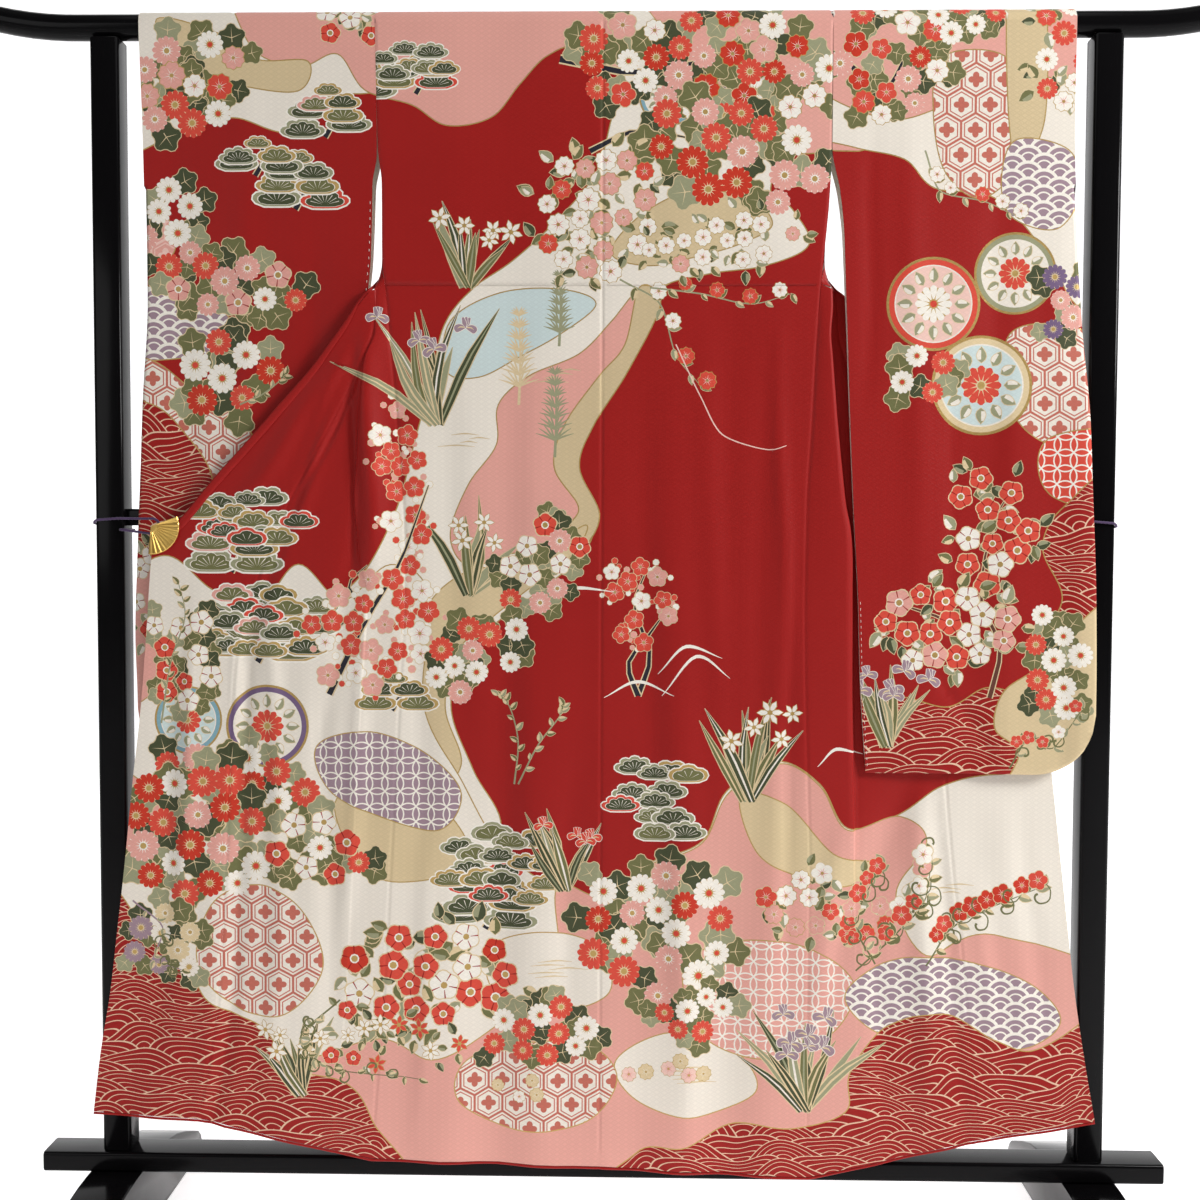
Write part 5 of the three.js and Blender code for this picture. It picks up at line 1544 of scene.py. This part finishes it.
# %% Only what shows is kept: the lines between two colours
def visible_lines(faces, looks):
    """Edges with another colour on each side: both ends, the look on the left and on the right."""
    a, b = faces.ravel(), np.roll(faces, -1, 1).ravel()
    owner = np.repeat(looks, 3)
    key = np.minimum(a, b) * (faces.max() + 1) + np.maximum(a, b)
    order = np.argsort(key, kind="stable")
    starts = np.flatnonzero(np.diff(key[order], prepend=-1))
    paired = np.diff(np.append(starts, len(key))) == 2
    one, two = order[starts], order[np.minimum(starts + 1, len(key) - 1)]
    right = np.where(paired, owner[two], -1)
    keep = owner[one] != right
    return [list(column[keep].tolist()) for column in (a[one], b[one], owner[one], right)]


def straightened(points, lines, slack=0.06):
    """Drops every point that lies all but straight between its two neighbours."""
    edges = dict(enumerate(zip(*lines)))
    touching = {}
    for k, (p, q, _, _) in edges.items():
        touching.setdefault(p, []).append(k)
        touching.setdefault(q, []).append(k)
    for v in list(touching):
        if len(touching[v]) != 2 or touching[v][0] == touching[v][1]:
            continue
        k, l = touching[v]
        p, q, left, right = edges[k] if edges[k][1] == v else (edges[k][1], v, edges[k][3], edges[k][2])
        end = edges[l][1] if edges[l][0] == v else edges[l][0]
        ax, az = points[p]
        bx, bz = points[end]
        vx, vz = points[v]
        chord = math.hypot(bx - ax, bz - az)
        doubled = any(end in edges[m][:2] for m in touching[p])
        if p == end or doubled or chord < 1e-6 or chord > 30:
            continue
        along = ((vx - ax) * (bx - ax) + (vz - az) * (bz - az)) / chord**2
        if not 0 < along < 1 or abs((vx - ax) * (bz - az) - (vz - az) * (bx - ax)) / chord > slack:
            continue
        edges[k] = (p, end, left, right)
        del edges[l]
        del touching[v]
        touching[end] = [k if m == l else m for m in touching[end]]
    return list(edges.values())


def recut(points, lines, lattice, creases):
    """Cuts the panel again along the visible lines alone, and colours it from both sides of them."""
    lines = straightened(points.tolist(), lines)
    used = sorted({v for line in lines for v in line[:2]})
    place = {v: k for k, v in enumerate(used)}
    ends = np.array([(place[p], place[q]) for p, q, _, _ in lines])
    sides = np.array([line[2:] for line in lines])
    flat, edges = [points[used], lattice], ends.tolist()
    start = len(used) + len(lattice)
    for line in creases:
        flat.append(line)
        edges += [(start + k, start + k + 1) for k in range(len(line) - 1)]
        start += len(line)
    flat = np.concatenate(flat)
    found = delaunay_2d_cdt([Vector(p) for p in flat], edges, [], 0, 1e-4, True)
    where, faces = np.array([p[:] for p in found[0]]), np.array(found[2])
    big = len(where) + 1
    colour_line = [(min(e) * big + max(e), min(ids)) for e, ids in zip(found[1], found[4])
                   if ids and min(ids) < len(ends)]
    colour_line = np.array(sorted(colour_line))
    a, b = faces.ravel(), np.roll(faces, -1, 1).ravel()
    key = np.minimum(a, b) * big + np.maximum(a, b)
    at = np.minimum(np.searchsorted(colour_line[:, 0], key), len(colour_line) - 1)
    on_line = colour_line[at, 0] == key
    drawn = ends[colour_line[at, 1]]
    same_way = ((where[b] - where[a]) * (flat[drawn[:, 1]] - flat[drawn[:, 0]])).sum(1) > 0
    look = np.full(len(faces), -2)
    owner = np.repeat(np.arange(len(faces)), 3)
    told = np.where(same_way, sides[colour_line[at, 1], 0], sides[colour_line[at, 1], 1])
    look[owner[on_line]] = told[on_line]
    order = np.argsort(key, kind="stable")
    pair = np.flatnonzero((key[order][1:] == key[order][:-1]) & ~on_line[order][1:])
    one, two = owner[order[pair]], owner[order[pair + 1]]
    while True:
        spread_one, spread_two = (look[one] == -2) & (look[two] != -2), (look[two] == -2) & (look[one] != -2)
        if not (spread_one.any() or spread_two.any()):
            break
        look[one[spread_one]] = look[two[spread_one]]
        look[two[spread_two]] = look[one[spread_two]]
    keep = look >= 0
    return where, faces[keep].tolist(), look[keep].tolist()


# %% Panels joined into one piece of silk
HALF_WALL = 0.7


def is_far(panel):
    return panel.startswith(("shoulder", "sleeve_far"))


def open_edges(faces):
    """Edges that only one face uses, with that face's number, in the face's own direction."""
    seen = {}
    for number, face in enumerate(faces):
        for a, b in zip(face, face[1:] + face[:1]):
            seen[(a, b)] = number
    return [(a, b, number) for (a, b), number in seen.items() if (b, a) not in seen]


def paint(mesh, ink, second, craft):
    """The three colour layers that the silk reads, from one row of three for each corner."""
    for label, values in (("ink", ink), ("ink2", second), ("craft", craft)):
        layer = mesh.color_attributes.new(label, "FLOAT_COLOR", "CORNER")
        rows = np.ones((len(mesh.loops), 4))
        rows[:, :3] = values
        layer.data.foreach_set("color", rows.ravel())


def lay_flat(mesh, name, flat):
    corner_point = np.empty(len(mesh.loops), int)
    mesh.loops.foreach_get("vertex_index", corner_point)
    mesh.uv_layers.new(name=name).data.foreach_set("uv", flat[corner_point].ravel())


class Cloth:
    """Gathers points and coloured faces, in millimetres, and makes one object of them."""

    def __init__(self):
        self.points, self.normals, self.cut, self.tile = [], [], [], []
        self.faces, self.looks, self.count, self.tiles = [], [], 0, 0

    def take(self, points, normals, cut, faces, looks):
        self.points.append(points), self.normals.append(normals), self.cut.append(cut)
        self.tile.append(np.full(len(points), self.tiles))
        self.faces += [tuple(k + self.count for k in face) for face in faces]
        self.looks += looks
        self.count += len(points)
        self.tiles += 1

    def panel(self, name, picture):
        """A cut panel half a wall in front of the middle, and its raw edge turned in by a whole wall."""
        where, faces, looks, place = cut_panel(name, picture)
        x, z = where.T
        away = is_far(name)
        normal, middle = surface_normals(place, x, z, away), place(x, z)
        faces = [tuple(reversed(face)) if away else tuple(face) for face in faces]
        border = open_edges(faces)
        rim = sorted({end for edge in border for end in edge[:2]})
        inner = {k: len(where) + n for n, k in enumerate(rim)}
        middle = np.concatenate([middle, middle[rim] - normal[rim] * HALF_WALL * 2])
        normal, where = np.concatenate([normal, normal[rim]]), np.concatenate([where, where[rim]])
        faces += [(b, a, inner[a], inner[b]) for a, b, _ in border]
        looks += [looks[number] for _, _, number in border]
        self.take(middle + normal * HALF_WALL, normal, where, faces, looks)

    def grid(self, points, cut, normal, looks, lining=False):
        """A regular net: points[row][column] is the middle surface, with half a wall to the silk or lining."""
        m, n = points.shape[:2]
        turn = np.cross(np.gradient(points, axis=1), np.gradient(points, axis=0))
        i, j = np.meshgrid(np.arange(m - 1), np.arange(n - 1), indexing="ij")
        a = (i * n + j).ravel()
        quads = np.stack([a, a + 1, a + n + 1, a + n], -1)
        if ((turn * normal).sum() < 0) ^ lining:
            quads = quads[:, ::-1]
        shown = -normal if lining else normal
        self.take((points + shown * HALF_WALL).reshape(-1, 3), shown.reshape(-1, 3), cut.reshape(-1, 2),
                  [tuple(q) for q in quads.tolist()], looks)

    def make(self, name, material, slot, *nodes):
        points, cut = np.concatenate(self.points) / 1000, np.concatenate(self.cut) / 1000
        tile = np.concatenate(self.tile)
        mesh = bpy.data.meshes.new(name)
        mesh.from_pydata(points.tolist(), [], self.faces)
        mesh.materials.append(material)
        mesh.shade_smooth()
        sizes = [len(face) for face in self.faces]
        ink, second = (np.array([look[k] for look in self.looks]) for k in (0, 1))
        craft = np.array([(look[2] / 8, look[3], 0) for look in self.looks])
        paint(mesh, *(np.repeat(values, sizes, axis=0) for values in (ink, second, craft)))
        lay_flat(mesh, "Cut", cut)
        atlas = np.empty_like(cut)
        for number in range(self.tiles):
            mine = tile == number
            low, high = cut[mine].min(0), cut[mine].max(0)
            inside = (cut[mine] - low) / np.maximum(high - low, 1e-6) * 0.98 + 0.01
            atlas[mine] = np.stack([(number + inside[:, 0]) / self.tiles, inside[:, 1]], -1)
        lay_flat(mesh, "OFBake", atlas)
        mesh.normals_split_custom_set_from_vertices(np.concatenate(self.normals).tolist())
        one = bpy.data.objects.new(name, mesh)
        bpy.context.scene.collection.objects.link(one)
        belongs(one, slot, *nodes)
        print(name, len(self.faces), "faces")
        return one


HEM_LINING_TOP = 480.0


def turned_rows(sample, z, along):
    """Shares of a panel's length, a quarter of them below the red hem lining's top edge."""
    rising = z[-1] > z[0]
    edge = np.interp(HEM_LINING_TOP, z if rising else z[::-1], sample if rising else sample[::-1])
    quarter = along // 4
    first, rest = (quarter, along - quarter) if rising else (along - quarter, quarter)
    return np.concatenate([np.linspace(0, edge, first + 1), np.linspace(edge, 1, rest + 1)[1:]])


def lining_of(cloth, panel, across, along):
    """The same surface one wall behind, as a regular net: off-white silk, and red towards the hem."""
    spread, place = PANELS[panel][:2]
    f, t = np.meshgrid(np.linspace(0, 1, across + 1), np.linspace(0, 1, along + 1))
    red_share = 1.0 if "overlap" in panel else 0.0
    if "back" in panel or "front" in panel:
        # one row of the net lies along the top of the red hem lining
        sample = np.linspace(0, 1, 400)
        t = np.stack([turned_rows(sample, spread(0 * sample + share, sample)[1], along) for share in f[0]], -1)
        red_share = 0.25
    x, z = spread(f.ravel(), t.ravel())
    normal = surface_normals(place, x, z, is_far(panel))
    net = (along + 1, across + 1)
    from_hem = np.arange(along) if "back" in panel else along - 1 - np.arange(along)
    looks = [plain_look("red" if row < red_share * along else "white")
             for row in from_hem for _ in range(across)]
    cloth.grid(place(x, z).reshape(*net, 3), np.stack([x, z], -1).reshape(*net, 2), normal.reshape(*net, 3),
               looks, lining=True)


# %% The turned strip at each armpit
def armpit(side, across=14, between=5):
    """From the far layer the front turns over through the armpit and comes out towards the viewer.
    Gives the points, their flat places and their normals."""
    spread, place = PANELS[f"front_{side}"][:2]
    f = np.linspace(0, 1, across + 1)
    rows = []
    for bx, by, bz, ax, ay, az in SHOULDER[side][7:]:
        rows.append(np.stack([blend(bx, ax, f), blend(by, ay, f), blend(bz, az, f)], -1))
    x, z = spread(f, 0 * f)
    rows.append(place(x, z))
    rows = np.array(rows)
    t = np.linspace(0, len(rows) - 1, (len(rows) - 1) * between + 1)
    i = np.minimum(t.astype(int), len(rows) - 2)
    points = rows[i] + (rows[i + 1] - rows[i]) * (t - i)[:, None, None]
    turn = np.cross(np.gradient(points, axis=1), np.gradient(points, axis=0))
    normal = turn / np.maximum(np.linalg.norm(turn, axis=2), 1e-9)[..., None] * -SIDES[side]
    return points, np.stack(np.meshgrid(f * 40, 1400 + t * 8), -1), normal


# %% Body, overlaps and sleeves
# each width's panels, its solid, its flat sheet across and along in metres, and the area that counts
WIDTHS = {
    "body": (("back", "shoulder", "front"), "body", (0.36, 3.36), 1.02),
    "overlap": (("overlap",), "okumi", (0.18, 1.36), 0.19),
    "sleeve": (("sleeve_near", "sleeve_far"), "sleeve", (0.37, 2.24), 0.74),
}


def armpit_strip(cloth, side, ink, lining=False):
    points, cut, normal = armpit(side)
    faces = (len(points) - 1) * (points.shape[1] - 1)
    cloth.grid(points, cut, normal, [plain_look(ink)] * faces, lining)


for side in SIDES:
    for width, (panels, solid, flat, area) in WIDTHS.items():
        cloth = Cloth()
        for panel in panels:
            cloth.panel(f"{panel}_{side}", SLEEVE_PICTURES[side] if width == "sleeve" else BODY_PICTURE)
        if width == "body":
            armpit_strip(cloth, side, "red")
        cloth.make(f"silk_{width}_{side}", SILK, "silk", f"{solid}_{side}")

# %% Linings
LINING = silk_material("plain_silk_lining")
for side in SIDES:
    for width, (panels, _, flat, area) in WIDTHS.items():
        cloth = Cloth()
        for panel in panels:
            lining_of(cloth, f"{panel}_{side}", 40, 112)
        if width == "body":
            armpit_strip(cloth, side, "white", lining=True)
        cloth.make(f"lining_{width}_{side}", LINING, "lining")

# %% [markdown]
# ## Collar, hem roll, clips and cords
# The collar is one folded strip round the neck and down both free edges. The lining is let out a
# little at the hem, where it rolls as a thin dark red cord. Each front is held by a small brass clip
# shaped like a folding fan, tied to its post with a thin purple cord that is drawn tight.


# %% The collar
COLLAR_LAP, COLLAR_WALL = 9.0, 1.2


def collar_stations(side):
    """Points of the edge, the way into the cloth, the width of the inner leg, and whether it hangs flat."""
    s, found = SIDES[side], []
    for x, z in ((0.5, 1705), (24, 1701.6)):
        found.append(((s * x, 19.2, z), None, 12, True))
    for bx, by, bz, ax, ay, az in SHOULDER[side]:
        edge, inward = np.array([ax, ay, az], float), np.array([bx - ax, by - ay, bz - az], float)
        gap = np.linalg.norm(inward)
        edge = edge - inward * (1.8 / gap if gap < 40 else 0)
        leg = 1.2 if gap < 40 else min(30, gap * (0.08 if gap < 95 else 0.26))
        found.append((edge, inward, leg, az > 1620))
    spread, place = PANELS[f"overlap_{side}"][:2]
    for t in range(FAN_ROWS + 1):
        x, z = spread(np.array([0.0, 1.0]), np.full(2, t / FAN_ROWS))
        seam, edge = place(x, z)
        if edge[2] < 1000:
            break
        inward = seam - edge
        gap = np.linalg.norm(inward)
        edge = edge - inward * (1.8 / gap if gap < 25 else 0)
        leg = 22 if edge[2] < 1015 else 0.8 if gap < 25 else min(36, gap * (0.15 if gap < 60 else 0.4))
        found.append((edge, inward, leg, False))
    return found


def unit(v):
    return v / np.linalg.norm(v)


def collar():
    stations = collar_stations("left")[::-1] + collar_stations("right")
    edges = np.array([st[0] for st in stations], float)
    gap = 1.4
    out = gap + COLLAR_WALL
    rings = []
    for i, (edge, inward, leg, flat) in enumerate(stations):
        along = unit(edges[min(i + 1, len(edges) - 1)] - edges[max(0, i - 1)])
        normal = np.array([0.0, 1, 0]) if flat else unit(np.cross(inward, along))
        width = np.array([0.0, 0, 1]) if inward is None else unit(np.cross(along, normal))
        if inward is not None and width @ inward < 0:
            width = -width
        lap = min(COLLAR_LAP, leg * 0.8)
        section = [(lap, gap), (lap + 0.3, (gap + out) / 2), (lap, out), (lap / 2, out), (0, out), (-1.1, 2.3),
                   (-1.9, 1.6), (-2.5, 0.8), (-2.7, 0), (-2.5, -0.8), (-1.9, -1.6), (-1.1, -2.3), (0, -out),
                   (leg / 2, -out), (leg, -out), (leg + 0.3, -(gap + out) / 2), (leg, -gap), (leg / 2, -gap),
                   (0, -gap), (-1.0, -0.9), (-1.3, 0), (-1.0, 0.9), (0, gap), (lap / 2, gap)]
        rings.append([np.asarray(edge, float) + width * d + normal * h for d, h in section])
    rings = np.array(rings)
    t = np.linspace(0, len(rings) - 1, (len(rings) - 1) * 6 + 1)
    lines = [[curve(list(enumerate(rings[:, k, axis])))(t) for axis in range(3)] for k in range(rings.shape[1])]
    return np.array(lines).transpose(2, 0, 1)


def dress(one, ink, flat):
    """Gives a plain mesh of silk its one colour and its flat places."""
    paint(one.data, *plain_look(ink)[:2], (0, 0, 0))
    lay_flat(one.data, "Cut", flat)


fine = collar()
collar_piece = mesh_object("silk_collar", *loft((fine / 1000).tolist()), SILK)
steps_along, steps_around = (np.diff(line, axis=0) for line in (fine[:, 0], fine[len(fine) // 2]))
length_along, around = (np.append(0, np.cumsum(np.linalg.norm(steps, axis=1)))
                        for steps in (steps_along, steps_around))
u, v = np.meshgrid(around, length_along)
dress(collar_piece, "red", np.stack([u.ravel(), v.ravel()], -1) / 1000)
belongs(collar_piece, "silk", "collar")
print("collar", round(float(length_along[-1])), "mm long")


# %% Ropes: the hem roll and the purple cords
GROOVE = 0.09  # depth between two strands, as a share of the radius


def rope(name, path, radius, sides, material, closed=False, strands=0, twist=0.0):
    path = np.asarray(path, float)
    n, up, rings, walked = len(path), np.array([0.0, 0, 1]), [], 0.0
    for i in range(n):
        a, b = (path[i - 1], path[(i + 1) % n]) if closed else (path[max(0, i - 1)], path[min(n - 1, i + 1)])
        along = unit(b - a)
        up = unit(up - along * (up @ along))
        second = np.cross(along, up)
        walked += np.linalg.norm(path[i] - path[i - 1]) if i else 0
        ring = []
        for angle in np.arange(sides) * TURN / sides:
            r = radius * (1 + GROOVE * (math.cos(strands * angle + walked * twist) - 1))
            ring.append(path[i] + up * r * math.cos(angle) + second * r * math.sin(angle))
        rings.append(ring)
    points, faces = loft(rings, closed)
    return mesh_object(name, np.array(points) / 1000, faces, material)


def hem_line():
    """The hem's lower edge from one free corner to the other, just below the cloth."""
    outward, inward = np.linspace(0, 1, 31)[1:], np.linspace(1, 0, 31)
    lines = []
    for panel, f, t in (
        ("overlap_left", inward, 1), ("front_left", inward, 1),
        ("back_left", np.linspace(0, 1, 41)[1:], 0), ("back_right", np.linspace(1, 0, 41)[1:], 0),
        ("front_right", outward, 1), ("overlap_right", outward, 1),
    ):
        spread, place = PANELS[panel][:2]
        lines.append(place(*spread(f, 0 * f + t)))
    line = np.concatenate(lines)
    line[:, 2] -= 2.5
    keep = np.concatenate([[True], np.linalg.norm(np.diff(line, axis=0), axis=1) > 1.5])
    return line[keep]


roll = rope("lining_hem_roll", hem_line(), 1.7, 10, SILK)
dress(roll, "deep_red", np.array([(v.co.x, v.co.z) for v in roll.data.vertices]))
belongs(roll, "lining", "hem_roll")
print("hem roll", len(roll.data.polygons), "faces")

# %% Basting stitches
THREAD = plain_material("white_basting_thread", (0.85, 0.82, 0.76), 0.8)
tree = THREAD.node_tree
bump(tree, noise(tree, object_place(tree), 1500, 1), 0.4, 0.0003)


def basting(panel, f, start, end, pitch=8.5, length=3.6):
    """A row of short stitches near a panel's edge, joined into one mesh."""
    spread, place = PANELS[panel][:2]
    points, faces, shares = [], [], np.linspace(0, 1, 400)
    for z in np.arange(start, end, pitch):
        t = np.interp(z, spread(0 * shares, shares)[1], shares)
        x = spread(np.array([f]), np.array([t]))[0][0]
        heights = z + np.linspace(0, length, 5)
        line = place(np.full(5, x), heights)
        normal = surface_normals(place, np.full(5, x), heights, is_far(panel))
        line = line + normal * (HALF_WALL + 0.35 * np.sin(np.linspace(0, math.pi, 5))[:, None])
        rings = [[p + np.array([math.cos(a), 0, 0]) * 0.4 + n * math.sin(a) * 0.4
                  for a in np.arange(5) * TURN / 5]
                 for p, n in zip(line, normal)]
        more, some = loft(rings)
        faces += [tuple(k + len(points) for k in face) for face in some]
        points += more
    return points, faces


points, faces = basting("sleeve_near_right", 0.008, 700, 935)
more, some = basting("sleeve_near_left", 0.008, 700, 1500, 11)
faces += [tuple(k + len(points) for k in face) for face in some]
stitches = mesh_object("basting_stitches", np.array(points + more) / 1000, faces, THREAD)
belongs(stitches, "silk")
print("stitches:", len(faces), "faces")

# %% Clips
CLIPS = {"left": (-638, -36, 1037, 20, -96), "right": (616, -16.4, 1037, 160, 276)}
CLIP_REACH, HUB = 40.0, 8.5
brass = plain_material("gilt_brass", (0.72, 0.47, 0.13), 0.3, Metallic=1.0)
tree = brass.node_tree
wear = noise(tree, object_place(tree), 220, 3)
tree.links.new((wear * 0.25 + 0.2).socket, tree.nodes["Principled BSDF"].inputs["Roughness"])
bump(tree, wear, 0.2, 0.0004)


def clip(side):
    x, y, z, start, end = CLIPS[side]
    half, leaf, ribs = 3.3, 1.3, 22
    rings = []
    for i in range(ribs * 2 + 1):
        angle = math.radians(blend(start, end, i / (ribs * 2)))
        rib = 0.85 if (i // 2) % 2 else 0.0
        guard = -0.5 if i < 2 or i > ribs * 2 - 2 else 0
        section = [(1.2, -half - leaf), (HUB, -half - leaf), (HUB + 3, -half - leaf - rib + guard),
                   (CLIP_REACH - 1, -half - leaf - rib + guard), (CLIP_REACH, -half - leaf / 2 - rib * 0.6),
                   (CLIP_REACH - 1, -half - rib * 0.4), (HUB, -half), (HUB, half), (CLIP_REACH * 0.8, half),
                   (CLIP_REACH * 0.8, half + leaf), (1.2, half + leaf)]
        rings.append([(x + r * math.cos(angle), y + d, z + r * math.sin(angle)) for r, d in section])
    points, faces = loft(rings)
    one = mesh_object(f"brass_clip_{side}", np.array(points) / 1000, faces, brass)
    one.data.set_sharp_from_angle(angle=math.radians(30))
    belongs(one, "clip", f"clip_{side}")


# %% Cords
purple = plain_material("purple_silk_cord", (0.06, 0.022, 0.10), 0.6, Sheen_Weight=0.3)
tree = purple.node_tree
bump(tree, noise(tree, object_place(tree), 700, 2), 0.5, 0.0005)
POST_X, POST_HALF, CORD_R = 705.0, 20.5, 1.9


def cord_line(side):
    s = SIDES[side]
    x, y, z = CLIPS[side][:3]
    hook = HUB + 0.4 + CORD_R
    path = [(x - s * hook * math.cos(math.radians(a)), y, z + hook * math.sin(math.radians(a)))
            for a in range(105, -106, -15)]
    half, inner = POST_HALF + 0.4 + CORD_R, -s
    around = []
    for sx, sy in ((inner, -1), (inner, 1), (-inner, 1), (-inner, -1)):
        corner = [(sx * (half - 6), sy * half), (sx * (half - 1.9), sy * (half - 1.9)),
                  (sx * half, sy * (half - 6))]
        around += corner if sx * sy * inner < 0 else corner[::-1]
    around.append((inner * (half - 9), -half - 0.6))
    for i, (px, py) in enumerate(around):
        level = z - 5 if i < 6 else z - 5 + 16 * (i - 5) / (len(around) - 6)
        path.append((s * POST_X + px, py, level))
    return path


def finer(path, gap=1.4):
    """Straight runs cut into short steps, for a twisted cord's strands to show."""
    path, out = np.array(path), []
    for a, b in zip(path, np.roll(path, -1, 0)):
        steps = max(1, int(np.linalg.norm(b - a) / gap))
        out += [a + (b - a) * k / steps for k in range(steps)]
    return out


for side in SIDES:
    clip(side)
    cord = rope(f"purple_cord_{side}", finer(cord_line(side)), CORD_R, 12, purple, True, strands=3, twist=1.1)
    belongs(cord, "cord", f"cord_{side}")
print("2 clips, 2 cords")
